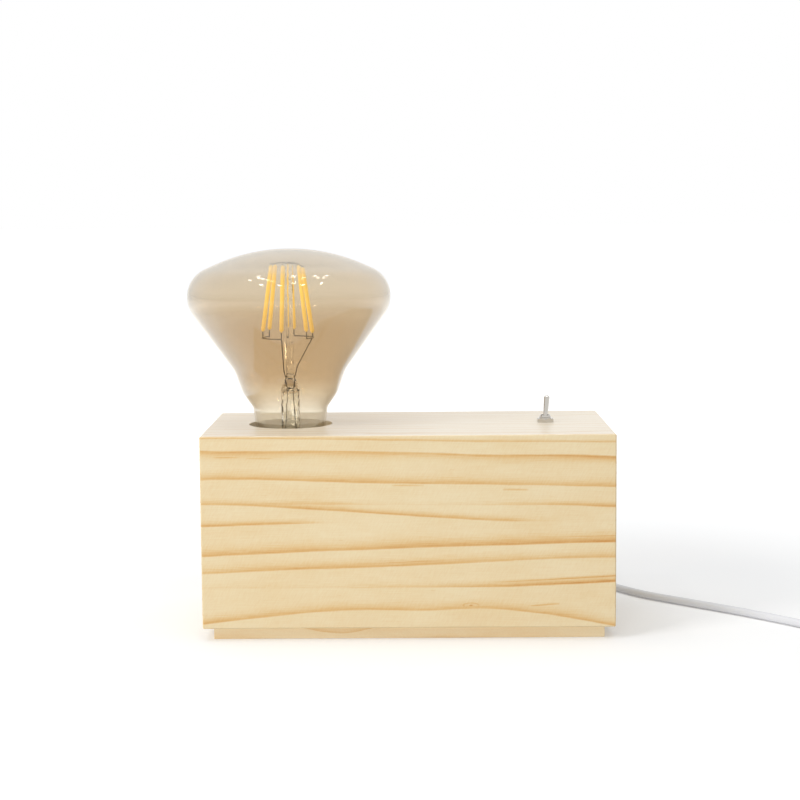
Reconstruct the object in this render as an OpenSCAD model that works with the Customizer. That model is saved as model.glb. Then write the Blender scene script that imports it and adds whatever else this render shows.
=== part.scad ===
// Bare bulb table lamp: a hollow pine block with a bulb standing in a hole in its top face,
// a toggle switch beside it and a cord that leaves through the back.
// The origin is the middle of the base, +Z is up and the front faces -Y. Millimetres.

/* [Block] */
// Width of the block, left to right
block_w = 200; // [170:1:240]
// Depth of the block, front to back
block_d = 100; // [92:1:125]
// Height of the top face above the table
block_h = 100; // [92:1:125]
// Thickness of the mitred boards
board_t = 12; // [10:0.5:15]
// Bevel along the outer edges of the boards
edge_bevel = 0.6; // [0.2:0.1:1.5]
// Thickness of the base plate
base_t = 6; // [5:0.5:8]
// How far the base plate sits back from the faces
base_inset = 5; // [2:0.5:8]
// Side of the square glue blocks in the corners
cleat_w = 16; // [12:1:20]
// Height of the glue blocks
cleat_h = 36; // [28:1:50]

/* [Bulb hole] */
// Diameter of the hole in the top face
hole_d = 42; // [40:0.5:50]
// Distance of the hole's centre from the left end
hole_from_end = 40.6; // [38:0.1:60]

/* [Bulb] */
// Overall length of the bulb from its tip contact to its crown
bulb_len = 130.5; // [126:0.5:150]
// Radius at which the two slopes of the shoulder would meet
shoulder_r = 59.1; // [48:0.1:71]
// Slope of the crown's cone, in degrees
crown_slope = 24; // [18:0.5:28]
// Radius of the crown's dome
crown_round = 92; // [60:1:110]
// Rounding of the shoulder
shoulder_round = 15.3; // [10:0.1:18]
// Radius of the waist's corner
waist_r = 28; // [26:0.1:32]
// Radius of the bulge over the hole
bulge_r = 24.1; // [22.5:0.1:26]
// Radius of the neck where it enters the hole
neck_r = 18.6; // [16:0.1:19]
// Thickness of the glass
glass_t = 0.8; // [0.5:0.1:1.2]
// Depth of the tip contact under the block's top face
tip_depth = 42; // [38:0.5:48]
// Radius over the cap's screw thread
cap_r = 13.15; // [12.8:0.05:13.6]
// Rise of the cap's thread in one turn
thread_pitch = 3.63; // [3:0.01:4.3]
// Depth of the cap's thread
thread_depth = 0.9; // [0.5:0.05:1.1]

/* [Filaments] */
// Number of filament sticks
stick_count = 6; // [4:1:8]
// Diameter of a stick
stick_d = 2.1; // [1.6:0.1:2.6]
// Height of the sticks' lower ends over the tip contact
stick_low = 89; // [85:0.5:92]
// Height of the sticks' upper ends over the tip contact
stick_high = 122.5; // [110:0.5:122.5]
// Radius of the circle of lower ends
stick_low_r = 13; // [9:0.1:15]
// Radius of the circle of upper ends
stick_high_r = 8.1; // [6:0.1:10]
// Turn of the first stick, in degrees
stick_turn = 20; // [0:1:59]
// Diameter of the support and lead wires
wire_d = 0.6; // [0.4:0.1:0.8]

/* [Stem] */
// Diameter of the stem's rod
stem_rod_d = 3.7; // [3:0.1:4.5]
// Diameter of the stem's tube
stem_tube_d = 9.5; // [8:0.1:12]

/* [Lamp holder] */
// Radius of the holder's body and skirt
holder_r = 19; // [18.6:0.1:20]
// Thickness of the skirt's wall
skirt_t = 1.8; // [1.2:0.1:2]
// Running clearance between the cap and the screw shell
cap_gap = 0.3; // [0.2:0.05:0.4]
// Thickness of the sheet brass
brass_t = 0.4; // [0.3:0.05:0.5]
// Width of the steel strap
strap_w = 18; // [14:1:24]
// Thickness of the steel strap
strap_t = 1.5; // [1:0.1:2]
// Radius of the hollow nipple's thread
nipple_r = 5; // [4.5:0.1:5.5]
// Radius of the nipple's bore
nipple_bore_r = 3.5; // [3:0.1:3.8]

/* [Switch] */
// Distance of the switch from the right end
switch_from_end = 30.7; // [28:0.1:45]
// Turn of the lever's swing from the block's width, in degrees
switch_turn = 65; // [0:1:90]
// Lean of the lever from upright at each end of its throw, in degrees
lever_lean = 12; // [9:0.5:13]
// Length of the lever above its pivot
lever_len = 12.4; // [9:0.1:16]
// Diameter of the lever at its tip
lever_tip_d = 3; // [2.4:0.1:3.4]
// Diameter of the lever at the bushing
lever_root_d = 2.4; // [2:0.1:2.6]
// Diameter of the bushing's thread
bushing_d = 6; // [5.8:0.1:6.6]
// Height of the bushing over the block's top face
bushing_proud = 3.6; // [3.2:0.1:5]
// Size of the nut across its flats
nut_flats = 8; // [7.6:0.1:10]
// Thickness of the nut
nut_t = 2; // [1.5:0.1:2.4]
// Turn of the nut, in degrees
nut_turn = 32; // [0:1:59]
// Wood left over the pocket for the switch
pocket_roof = 4; // [3:0.5:5]

/* [Cord entry] */
// Distance of the gland from the middle of the back
gland_x = 58; // [40:1:60]
// Height of the gland over the table
gland_z = 14; // [13:0.5:18]
// Length of the gland's tapered boot outside the back
boot_l = 22; // [20:0.5:30]
// Diameter of the cord
cord_d = 4; // [3.6:0.1:4.2]
// Diameter of an inner lead
lead_d = 2; // [1.6:0.1:2.2]

/* [Plug] */
// Width of the plug over both pins
plug_w = 35.3; // [30:0.1:40]
// Thickness of the plug
plug_t = 13.7; // [12:0.1:15]
// Length of the plug's body
plug_l = 36; // [32:0.5:45]
// Spacing of the two pins
pin_gap = 18.6; // [17:0.1:19.5]
// Diameter of a pin
pin_d = 4; // [3.6:0.1:4.8]
// Length of a pin
pin_l = 19; // [16:0.5:20]

/* [Hidden] */
$fn = 64;
fit = 0.05;                                     // clearance of a fixed fit
eps = 0.5;                                      // overshoot of a cut

half_w = block_w / 2;
half_d = block_d / 2;
inner_w = half_w - board_t;
inner_d = half_d - board_t;
ceiling_z = block_h - board_t;

bulb_x = -half_w + hole_from_end;
tip_z = block_h - tip_depth;
switch_x = half_w - switch_from_end;

wood_screw_r = 1.5;
wood_screw_head_r = 3.2;
screw_len = 18;
cleat_x = inner_w - cleat_w / 2;
cleat_y = inner_d - cleat_w / 2;

/* Cap heights over the tip contact */
insulator_low = 2.2;
cap_low = 7;
thread_high = 25;
cap_high = 28;
seat_low = 25.4;
cap_wall = 0.35;
thread_turns = floor((thread_high - cap_low) / thread_pitch);
thread_steps = 8;

/* Holder heights over the tip contact */
holder_low = -22;
floor_t = 2.5;
core_low = -11;
core_high = -4;
core_r = holder_r - 3.5;
body_high = 2;
spigot_h = 6;
skirt_high = 25.5;
skirt_lip_t = 1.5;
spigot_r = holder_r - skirt_t - 2 * fit;
spigot_in_r = core_r + 2 * fit;
ledge_r = core_r - 2;
shell_in_r = cap_r + cap_gap;
shell_flange_r = 8.4;
shell_high = 22;
contact_top = -0.2;
contact_w = 4;
rivet_r = 0.9;
live_rivet_x = 7;
shell_rivet_x = 11;
post_in = 6;
post_out = 12.4;
post_w = 5;
post_low = -16.6;
lead_entry_z = tip_z - 14;
strap_top_z = tip_z + holder_low;
strap_y = holder_r + 3;
flange_end = inner_d - 2;
strap_screw_y = (strap_y + strap_t + flange_end) / 2;
strap_screw_len = 8;
nipple_low = -9;
nipple_high = floor_t + 2;
nipple_nut_t = 2.4;
nipple_nut_flats = 14;

/* Switch heights */
pocket_z = block_h - pocket_roof;
pocket_r = 9.5;
frame_t = 0.6;
case_l = 13;
case_w = 8;
case_h = 9.4;
case_wall = 1;
case_high = pocket_z - frame_t;
case_low = case_high - case_h;
pivot_z = block_h + bushing_proud - 2.4;
bushing_bore_r = 2.1;
ball_r = 2;
tail_r = 0.7;
tail_len = pivot_z - case_low - 5;
rocker_z = case_low + 4.5;
rocker_len = 9;
rocker_w = 3;
rocker_t = 0.5;
rocker_lean = 7;
lug_x = 4.7;
lug_t = 0.8;
lug_w = 2;
lug_len = 5;
lug_z = case_low - lug_len;

/* Gland and clamp */
gland_flange_t = 2;
gland_flange_r = 6;
gland_body_r = 4.2;
boot_root_r = 4.6;
boot_tip_r = 2.9;
cord_exit_y = half_d + boot_l;
cord_r = cord_d / 2;
lead_r = lead_d / 2;
clamp_t = 8;
clamp_front = inner_d - cleat_w - clamp_t;
clamp_w = 24;
clamp_h = gland_z - base_t + 6;
clamp_screw_x = 8;
sheath_end_y = clamp_front - 4;
lead_split = 1.1;

/* Cord route outside the block, from the gland to the coil, chosen by hand */
CORD_ROUTE = [
    [58, 72, 14], [58, 76, 14], [58, 79, 13.9], [59.1, 85.8, 12.6], [62.2, 91.9, 10.2], [67.1, 96.8, 7.4],
    [73.2, 99.9, 4.6], [80, 101, 2.7], [86.8, 99.9, 2.1], [92.9, 96.8, 2.1], [97.8, 91.9, 2.1],
    [100.9, 85.8, 2.1], [103.5, 78.3, 2.1], [106.3, 70.9, 2.1], [109.5, 63.7, 2.1], [113.3, 56.8, 2.1],
    [117.6, 50.2, 2.1], [124, 41.4, 2.1], [131, 34, 2.1], [138, 27.4, 2.1], [145, 21, 2.1],
    [152, 14.4, 2.1], [159, 8, 2.1], [166, 1.2, 2.1], [172.8, -5.6, 2.1], [179.6, -12.8, 2.1],
    [186.4, -20.4, 2.1], [192.6, -27.6, 2.1], [197.4, -33.6, 2.1], [201.2, -40.2, 2.1],
    [203.8, -47.2, 2.1], [205, -54, 2.1], [205, -58, 2.1]
];
/* Cord route from the coil to the plug, chosen by hand */
TAIL_ROUTE = [
    [263, -58, 15.9], [263, -54, 15.9], [262.2, -47, 15.4], [260, -40.4, 14], [256.8, -34.2, 11.8],
    [253.4, -28.4, 9.4], [250.8, -22, 7.6], [250, -16, 7], [250, -12, 7]
];
/* Coil of the rest of the cord: four layers, a little over two and a half turns in each */
coil_x = 234;
coil_y = -62;
coil_low_z = 2.1;
coil_out_r = 29;
coil_pitch = 4.6;
coil_layers = 4;
layer_turns = 2.625;
coil_rings = 24;
coil_sides = 6;
coil_start = 180;
plug_x = 250;
plug_y = -12;
plug_z = 7;

// ---------- helpers ----------

function unit(v) = v / norm(v);

// Points of a smooth curve through the given ones, with n steps in each span and straight end spans
function curve_point(a, b, c, d, t) =
    0.5 * (2 * b + (c - a) * t + (2 * a - 5 * b + 4 * c - d) * t * t + (3 * b - a - 3 * c + d) * t * t * t);
function smooth(p, n) = let (last = len(p) - 1) [
    p[0],
    for (i = [1:last - 2], k = [0:n - 1]) curve_point(p[i - 1], p[i], p[i + 1], p[i + 2], k / n),
    p[last - 1],
    p[last]
];

// Direction of a route at point i: square to its ends, and halfway between its two runs elsewhere
function heading(p, i) = let (last = len(p) - 1)
    i == 0 ? unit(p[1] - p[0]) :
    i == last ? unit(p[last] - p[last - 1]) :
    unit(unit(p[i] - p[i - 1]) + unit(p[i + 1] - p[i]));

// A round tube swept along a route, where guide is never along the route
module sweep(p, r, sides, guide) {
    last = len(p) - 1;
    rings = [
        for (i = [0:last])
            let (t = heading(p, i), u = unit(cross(t, guide)), v = cross(t, u))
            for (k = [0:sides - 1]) p[i] + r * (cos(360 * k / sides) * u + sin(360 * k / sides) * v)
    ];
    faces = [
        [for (k = [0:sides - 1]) k],
        [for (k = [sides - 1:-1:0]) last * sides + k],
        for (i = [0:last - 1], k = [0:sides - 1])
            let (a = i * sides + k, b = i * sides + (k + 1) % sides)
            each [[a, a + sides, b], [b, a + sides, b + sides]]
    ];
    polyhedron(rings, faces);
}

// Turns its children's +Z from a towards b
module towards(a, b) {
    v = b - a;
    translate(a) rotate([0, acos(v[2] / norm(v)), atan2(v[1], v[0])]) children();
}

// Prisms along Z, X and Y from outlines in the other two axes
module prism_z(outline, low, high) {
    translate([0, 0, low]) linear_extrude(high - low) polygon(outline);
}
module prism_x(outline, half) {
    translate([-half, 0, 0]) rotate([90, 0, 90]) linear_extrude(2 * half) polygon(outline);
}
module prism_y(outline, half) {
    translate([0, half, 0]) rotate([90, 0, 0]) linear_extrude(2 * half) polygon(outline);
}

// Outline of a rectangle with bevelled corners
function bevelled(x0, y0, x1, y1, c) = [
    [x0 + c, y0], [x1 - c, y0], [x1, y0 + c], [x1, y1 - c],
    [x1 - c, y1], [x0 + c, y1], [x0, y1 - c], [x0, y0 + c]
];

// ---------- block ----------

// Outer envelope of the boards, every edge bevelled
module block_envelope() {
    intersection() {
        prism_z(bevelled(-half_w, -half_d, half_w, half_d, edge_bevel), base_t, block_h);
        prism_x(bevelled(-half_d, base_t, half_d, block_h, edge_bevel), half_w);
        prism_y(bevelled(-half_w, base_t, half_w, block_h, edge_bevel), half_d);
    }
}

// A front board with mitres at both ends and at its top
module long_board() {
    intersection() {
        block_envelope();
        prism_z(
            [[-half_w, -half_d], [half_w, -half_d], [inner_w, -inner_d], [-inner_w, -inner_d]],
            base_t, block_h
        );
        prism_x([[-half_d, base_t], [-inner_d, base_t], [-inner_d, ceiling_z], [-half_d, block_h]], half_w);
    }
}

// A left board with mitres at both ends and at its top
module end_board() {
    intersection() {
        block_envelope();
        prism_z(
            [[-half_w, -half_d], [-inner_w, -inner_d], [-inner_w, inner_d], [-half_w, half_d]],
            base_t, block_h
        );
        prism_y([[-half_w, base_t], [-inner_w, base_t], [-inner_w, ceiling_z], [-half_w, block_h]], half_d);
    }
}

module front_panel() {
    color("burlywood") long_board();
}

module back_panel() {
    color("burlywood") difference() {
        mirror([0, 1, 0]) long_board();
        translate([gland_x, half_d + eps, gland_z]) rotate([90, 0, 0])
            cylinder(h = board_t + 2 * eps, r = gland_body_r + fit);
    }
}

module left_panel() {
    color("burlywood") end_board();
}

module right_panel() {
    color("burlywood") mirror([1, 0, 0]) end_board();
}

module top_panel() {
    color("wheat") difference() {
        intersection() {
            block_envelope();
            prism_x(
                [[-inner_d, ceiling_z], [inner_d, ceiling_z], [half_d, block_h], [-half_d, block_h]],
                half_w
            );
            prism_y(
                [[-inner_w, ceiling_z], [inner_w, ceiling_z], [half_w, block_h], [-half_w, block_h]],
                half_d
            );
        }
        translate([bulb_x, 0, ceiling_z - eps]) cylinder(h = board_t + 2 * eps, d = hole_d);
        translate([switch_x, 0, ceiling_z - eps]) cylinder(h = board_t - pocket_roof + eps, r = pocket_r);
        translate([switch_x, 0, ceiling_z]) cylinder(h = board_t + eps, r = bushing_d / 2 + 2 * fit);
        for (side = [-1, 1]) translate([bulb_x, side * strap_screw_y, ceiling_z - eps])
            cylinder(h = strap_screw_len + fit + eps, r = wood_screw_r + fit);
    }
}

// Repeats its children at the four corner blocks
module at_corners() {
    for (x = [-cleat_x, cleat_x], y = [-cleat_y, cleat_y]) translate([x, y, 0]) children();
}

// Repeats its children at the two clamp screws
module at_clamp_screws() {
    for (side = [-1, 1])
        translate([gland_x + side * clamp_screw_x, clamp_front + clamp_t / 2, 0]) children();
}

// A countersunk wood screw, head down at z = 0
module flat_screw(length, grow) {
    cylinder(h = wood_screw_head_r - wood_screw_r, r1 = wood_screw_head_r + grow, r2 = wood_screw_r + grow);
    cylinder(h = length + grow, r = wood_screw_r + grow);
}

// A cross recess in a screw head at z = 0
module cross_recess() {
    for (turn = [0, 90]) rotate([0, 0, turn]) cube([3.6, 0.8, 2.4], center = true);
}

// A round-headed screw, head under z = 0 and shank over it
module round_screw(length) {
    cylinder(h = length, r = wood_screw_r);
    difference() {
        translate([0, 0, -2]) cylinder(h = 2, r1 = 2.2, r2 = 2.8);
        translate([0, 0, -2]) cross_recess();
    }
}

module base_plate() {
    color("burlywood") difference() {
        translate([base_inset - half_w, base_inset - half_d, 0])
            cube([block_w - 2 * base_inset, block_d - 2 * base_inset, base_t]);
        at_corners() flat_screw(screw_len, fit);
        at_clamp_screws() translate([0, 0, base_t - 4]) cylinder(h = 4 + eps, r = wood_screw_r + fit);
    }
}

module corner_blocks() {
    color("tan") difference() {
        at_corners() translate([-cleat_w / 2, -cleat_w / 2, base_t]) cube([cleat_w, cleat_w, cleat_h]);
        at_corners() flat_screw(screw_len, fit);
    }
}

module base_screws() {
    color("silver") difference() {
        at_corners() flat_screw(screw_len, 0);
        at_corners() cross_recess();
    }
}

// ---------- bulb ----------

// Round corner at b between the lines from a and to c, moved by shift towards the bulb's inside
function corner(a, b, c, r, shift, steps) =
    let (
        u = unit(a - b),
        w = unit(c - b),
        half = acos(u * w) / 2,
        centre = b + unit(u + w) * r / sin(half),
        from = b + u * r / tan(half) - centre,
        to = b + w * r / tan(half) - centre,
        start = atan2(from[1], from[0]),
        turn = atan2(cross(from, to), from * to),
        moved = turn < 0 ? r - shift : r + shift
    )
    [for (i = [0:steps]) centre + moved * [cos(start + turn * i / steps), sin(start + turn * i / steps)]];

bulb_top = bulb_len;
crown_x = crown_round * tan(crown_slope / 2);
shoulder_z = bulb_top - (shoulder_r - crown_x) * tan(crown_slope);
// Corners of the bulb's outline from the crown to the seat: radius, height, rounding
BULB_CORNERS = [
    [0, bulb_top, 0],
    [crown_x, bulb_top, crown_round],
    [shoulder_r, shoulder_z, shoulder_round],
    [waist_r, 69.5, 17.3],
    [bulge_r, 58.2, 14.2],
    [neck_r + 0.3, 51, 2.5],
    [neck_r - 1.7, 37.5, 6],
    [cap_r - 0.55, 29.5, 4],
    [cap_r - 0.55, seat_low, 0]
];
corner_steps = 10;
function flat_point(c) = [c[0], c[1]];
function bulb_outline(shift) = [
    for (i = [1:len(BULB_CORNERS) - 2])
        each corner(
            flat_point(BULB_CORNERS[i - 1]), flat_point(BULB_CORNERS[i]), flat_point(BULB_CORNERS[i + 1]),
            BULB_CORNERS[i][2], shift, corner_steps
        ),
    [BULB_CORNERS[8][0] - shift, seat_low]
];
function backwards(list) = [for (i = [len(list) - 1:-1:0]) list[i]];

module on_bulb_axis() {
    translate([bulb_x, 0, tip_z]) children();
}

module bulb_glass() {
    color("goldenrod", 0.5) on_bulb_axis() rotate_extrude()
        polygon(concat(bulb_outline(0), backwards(bulb_outline(glass_t))));
}

stem_rod_r = stem_rod_d / 2;
stem_tube_r = stem_tube_d / 2;
stem_glass_t = 0.85;
flare_r = cap_r - 0.55 - glass_t - 0.2;
flare_z = seat_low + 0.4;
tube_low = 37;
tube_high = 59;
pinch_high = 67;
stem_high = stick_high + 0.8;
STEM_OUTSIDE = [
    [flare_r, flare_z], [flare_r, flare_z + 1], [8, 29.5], [5.8, 32.5], [stem_tube_r, tube_low],
    [stem_tube_r, tube_high], [3.4, 63], [stem_rod_r, pinch_high], [stem_rod_r, stem_high], [0, stem_high]
];
STEM_INSIDE = [
    [0, tube_high + 1.6], [2, tube_high + 1.2], [stem_tube_r - stem_glass_t, tube_high - 1.5],
    [stem_tube_r - stem_glass_t, tube_low + 0.4], [4.9, 33], [7.2, 30.3], [flare_r - 0.9, flare_z + 1.2],
    [flare_r - 0.9, flare_z]
];

// Ends of stick i: angle, lower end and upper end
stick_off_x = -0.9;
function stick_angle(i) = stick_turn + 360 * i / stick_count;
function stick_drop(i) = i == 0 ? 1.4 : 0;
function on_circle(r, angle, z) = [stick_off_x + r * cos(angle), r * sin(angle), z];
function stick_foot(i) = on_circle(stick_low_r, stick_angle(i), stick_low - stick_drop(i));
function stick_head(i) = on_circle(stick_high_r, stick_angle(i), stick_high - stick_drop(i));
wire_r = wire_d / 2;
wire_sides = 6;
hook = 2.2;
ring_z = stick_low - stick_drop(0) - hook + 0.6;

// The two lead wires, from the ring down through the pinch into the cap
function lead_start(i) = on_circle(stick_low_r, stick_angle(i), ring_z - 2 * wire_r);
RIGHT_LEAD = [
    lead_start(0), [4.4, 1, 72.6], [2.9, 0, 67.8], [1.4, 0, 61.5], [1.8, 0, 52],
    [3, 0, 38], [5.2, 0, 30], [5.2, 0, 14], [0, 0, 12], [0, 0, 3.1]
];
LEFT_LEAD = [
    lead_start(stick_count - 2), [-3, -4, 72], [-2.9, 0, 67.8], [-1.4, 0, 61.5], [-1.8, 0, 52],
    [-3, 0, 38], [-5.6, 0, 30], [-11.3, 0, 23.5]
];

module bulb_stem() {
    color("lightgray", 0.5) on_bulb_axis() rotate_extrude() polygon(concat(STEM_OUTSIDE, STEM_INSIDE));
}

// A filament stick with round ends
module stick(foot, head) {
    r = stick_d / 2;
    length = norm(head - foot);
    towards(foot, head) rotate_extrude() polygon(concat(
        [for (a = [-90:15:0]) [r * cos(a), r + r * sin(a)]],
        [for (a = [0:15:90]) [r * cos(a), length - r + r * sin(a)]]
    ));
}

module filaments() {
    color("gold") on_bulb_axis() for (i = [0:stick_count - 1]) stick(stick_foot(i), stick_head(i));
}

// An arc of the lower ring from stick i to stick k
module ring_arc(i, k) {
    steps = 8;
    turn = (stick_angle(k) - stick_angle(i)) / steps;
    arc = [for (n = [0:steps]) on_circle(stick_low_r, stick_angle(i) + n * turn, ring_z - wire_r)];
    sweep(arc, wire_r, wire_sides, [0, 0, 1]);
}

module filament_wires() {
    hub_r = stem_rod_r;
    hub = [0, 0, stem_high + fit];
    color("dimgray") on_bulb_axis() {
        translate(hub) cylinder(h = wire_d, r = hub_r);
        for (i = [0:stick_count - 1]) {
            tip = stick_head(i) + [0, 0, wire_r + fit];
            from = hub + [0, 0, wire_r] + unit(tip - hub) * (hub_r + fit);
            towards(from, tip) cylinder(h = norm(tip - from) + 0.6, r = wire_r);
            foot = stick_foot(i);
            translate([foot[0], foot[1], ring_z + fit]) cylinder(h = foot[2] - ring_z - 2 * fit, r = wire_r);
        }
        ring_arc(-1, 1);
        ring_arc(2, 4);
    }
}

module bulb_leads() {
    color("dimgray") on_bulb_axis() {
        sweep(smooth(RIGHT_LEAD, 3), wire_r, wire_sides, [0, 1, 0]);
        sweep(smooth(LEFT_LEAD, 3), wire_r, wire_sides, [0, 1, 0]);
    }
}

// Outline of the cap's rolled thread, moved inwards by shift
function thread_outline(shift) = [
    for (i = [0:thread_turns * thread_steps])
        let (wave = (1 - cos(360 * i / thread_steps)) / 2)
        [cap_r - thread_depth * (1 - wave) - shift, cap_low + 0.4 + thread_pitch * i / thread_steps]
];

module bulb_cap() {
    outside = concat(
        [[cap_r - thread_depth, cap_low]], thread_outline(0),
        [[cap_r, thread_high + 0.8], [cap_r, cap_high]]
    );
    inside = concat(
        [[cap_r - thread_depth - cap_wall, cap_low]], thread_outline(cap_wall),
        [[cap_r - cap_wall, thread_high + 0.8], [cap_r - cap_wall, cap_high]]
    );
    color("silver") on_bulb_axis() rotate_extrude() polygon(concat(outside, backwards(inside)));
}

tip_r = 4.8;
tip_high = 3;
module cap_insulator() {
    seat = cap_r - thread_depth - cap_wall - 2 * fit;
    color("dimgray") on_bulb_axis() rotate_extrude() polygon([
        [tip_r + fit, insulator_low], [7.4, insulator_low], [seat, cap_low], [seat, cap_low + 1.5],
        [wire_r + fit, cap_low + 1.5], [wire_r + fit, tip_high + fit], [tip_r + fit, tip_high + fit]
    ]);
}

module tip_contact() {
    color("gray") on_bulb_axis() rotate_extrude()
        polygon([[0, 0], [2.8, 0], [4.4, 0.7], [tip_r, 1.8], [tip_r, tip_high], [0, tip_high]]);
}

// ---------- lamp holder ----------

module holder_bracket() {
    web_z = strap_top_z - strap_t;
    color("silver") translate([bulb_x - strap_w / 2, 0, 0]) difference() {
        union() {
            translate([0, -strap_y - strap_t, web_z]) cube([strap_w, 2 * (strap_y + strap_t), strap_t]);
            for (side = [0, 1]) mirror([0, side, 0]) {
                translate([0, strap_y, web_z]) cube([strap_w, strap_t, ceiling_z - web_z]);
                translate([0, strap_y, ceiling_z - strap_t]) cube([strap_w, flange_end - strap_y, strap_t]);
            }
        }
        translate([strap_w / 2, 0, web_z - eps]) cylinder(h = strap_t + 2 * eps, r = nipple_r + fit);
        for (side = [-1, 1]) translate([strap_w / 2, side * strap_screw_y, ceiling_z - strap_t - eps])
            cylinder(h = strap_t + 2 * eps, r = wood_screw_r + 2 * fit);
    }
}

module bracket_screws() {
    color("silver") for (side = [-1, 1]) translate([bulb_x, side * strap_screw_y, ceiling_z - strap_t])
        round_screw(strap_t + strap_screw_len);
}

module holder_nipple() {
    length = nipple_high - nipple_low;
    color("gold") translate([bulb_x, 0, strap_top_z + nipple_low]) difference() {
        cylinder(h = length, r = nipple_r);
        translate([0, 0, -eps]) cylinder(h = length + 2 * eps, r = nipple_bore_r);
    }
}

// A hexagon nut with a round hole
module hex_nut(flats, height, hole_r) {
    difference() {
        cylinder(h = height, r = flats / 2 / cos(30), $fn = 6);
        translate([0, 0, -eps]) cylinder(h = height + 2 * eps, r = hole_r);
    }
}

module nipple_nuts() {
    color("gold") translate([bulb_x, 0, strap_top_z]) {
        translate([0, 0, -strap_t - nipple_nut_t]) hex_nut(nipple_nut_flats, nipple_nut_t, nipple_r + fit);
        translate([0, 0, floor_t]) hex_nut(nipple_nut_flats, nipple_nut_t, nipple_r + fit);
    }
}

module holder_body() {
    color("white") on_bulb_axis() rotate_extrude() polygon([
        [nipple_r + fit, holder_low], [holder_r - 1.5, holder_low], [holder_r, holder_low + 1.5],
        [holder_r, body_high], [spigot_r, body_high], [spigot_r, body_high + spigot_h],
        [spigot_in_r, body_high + spigot_h], [spigot_in_r, core_low], [ledge_r, core_low],
        [ledge_r, holder_low + floor_t], [nipple_r + fit, holder_low + floor_t]
    ]);
}

module holder_skirt() {
    lip_r = cap_r + 1.1;
    color("white") on_bulb_axis() rotate_extrude() polygon([
        [holder_r - skirt_t, body_high], [holder_r, body_high], [holder_r, skirt_high - 1.5],
        [holder_r - 1.5, skirt_high], [lip_r, skirt_high], [lip_r, skirt_high - skirt_lip_t],
        [holder_r - skirt_t, skirt_high - skirt_lip_t]
    ]);
}

module holder_core() {
    color("ivory") on_bulb_axis() difference() {
        translate([0, 0, core_low]) cylinder(h = core_high - core_low, r = core_r);
        for (x = [-live_rivet_x, shell_rivet_x]) translate([x, 0, core_low - eps])
            cylinder(h = core_high - core_low + 2 * eps, r = rivet_r + fit);
    }
}

module screw_shell() {
    out_r = shell_in_r + brass_t;
    color("gold") on_bulb_axis() rotate_extrude() polygon([
        [shell_flange_r, core_high], [out_r, core_high], [out_r, shell_high], [shell_in_r, shell_high],
        [shell_in_r, core_high + brass_t], [shell_flange_r, core_high + brass_t]
    ]);
}

module centre_contact() {
    color("gold") on_bulb_axis() prism_y([
        [-7.7, core_high], [-2.6, core_high], [1.6, contact_top - brass_t], [4, contact_top - brass_t],
        [4, contact_top], [1.4, contact_top], [-2.8, core_high + brass_t], [-7.7, core_high + brass_t]
    ], contact_w / 2);
}

// Places its children in the middle of a terminal block's front face, with +Z out of the block
module on_terminal_face() {
    translate([(post_in + post_out) / 2, -post_w / 2, (post_low + core_low) / 2])
        rotate([90, 0, 0]) children();
}

// One terminal on the right of the axis: a block under the core and a rivet through it
module terminal(rivet_x) {
    difference() {
        translate([post_in, -post_w / 2, post_low]) cube([post_out - post_in, post_w, core_low - post_low]);
        on_terminal_face() translate([0, 0, -3]) cylinder(h = 3 + eps, r = 1.2 + fit);
    }
    translate([rivet_x, 0, core_low]) cylinder(h = core_high - core_low, r = rivet_r);
}

module holder_terminals() {
    color("gold") on_bulb_axis() {
        terminal(shell_rivet_x);
        mirror([1, 0, 0]) terminal(live_rivet_x);
    }
}

module terminal_screws() {
    color("silver") on_bulb_axis() for (side = [0, 1]) mirror([side, 0, 0]) on_terminal_face() difference() {
        union() {
            translate([0, 0, -2.9]) cylinder(h = 2.9, r = 1.2);
            cylinder(h = 1.2, r = 2);
        }
        translate([-2.5, -0.3, 0.7]) cube([5, 0.6, 1]);
    }
}

// ---------- switch ----------

// Places its children at the switch, with X along the lever's swing
module on_switch() {
    translate([switch_x, 0, 0]) rotate([0, 0, switch_turn]) children();
}

module switch_case() {
    color("firebrick") on_switch() difference() {
        translate([-case_l / 2, -case_w / 2, case_low]) cube([case_l, case_w, case_h]);
        translate([case_wall - case_l / 2, case_wall - case_w / 2, case_low + case_wall])
            cube([case_l - 2 * case_wall, case_w - 2 * case_wall, case_h]);
        for (x = [0, -lug_x]) translate([x, 0, case_low])
            cube([lug_t + 2 * fit, lug_w + 2 * fit, 4 * case_wall], center = true);
    }
}

module switch_bushing() {
    thread_low = block_h + nut_t + 0.2;
    thread_step = 0.25;
    ridge = 0.18;
    ridges = floor((block_h + bushing_proud - thread_low) / (2 * thread_step));
    outline = concat(
        [[bushing_bore_r, case_high], [bushing_d / 2, case_high], [bushing_d / 2, thread_low]],
        [
            for (i = [1:2 * ridges - 1])
                [bushing_d / 2 - (i % 2) * ridge, thread_low + i * thread_step]
        ],
        [[bushing_d / 2 - 0.3, block_h + bushing_proud], [bushing_bore_r, block_h + bushing_proud]]
    );
    color("silver") on_switch() difference() {
        union() {
            rotate_extrude() polygon(outline);
            translate([-case_l / 2, -case_w / 2, case_high]) cube([case_l, case_w, frame_t]);
        }
        translate([0, 0, case_high - eps]) cylinder(h = frame_t + 2 * eps, r = bushing_bore_r);
    }
}

module switch_nut() {
    corner_r = nut_flats / 2 / cos(30);
    color("silver") translate([switch_x, 0, block_h]) rotate([0, 0, nut_turn]) intersection() {
        hex_nut(nut_flats, nut_t, bushing_d / 2 + fit);
        cylinder(h = 2 * nut_t, r1 = corner_r + 1.5 * nut_t, r2 = corner_r - 2.1 * nut_t);
    }
}

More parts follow.
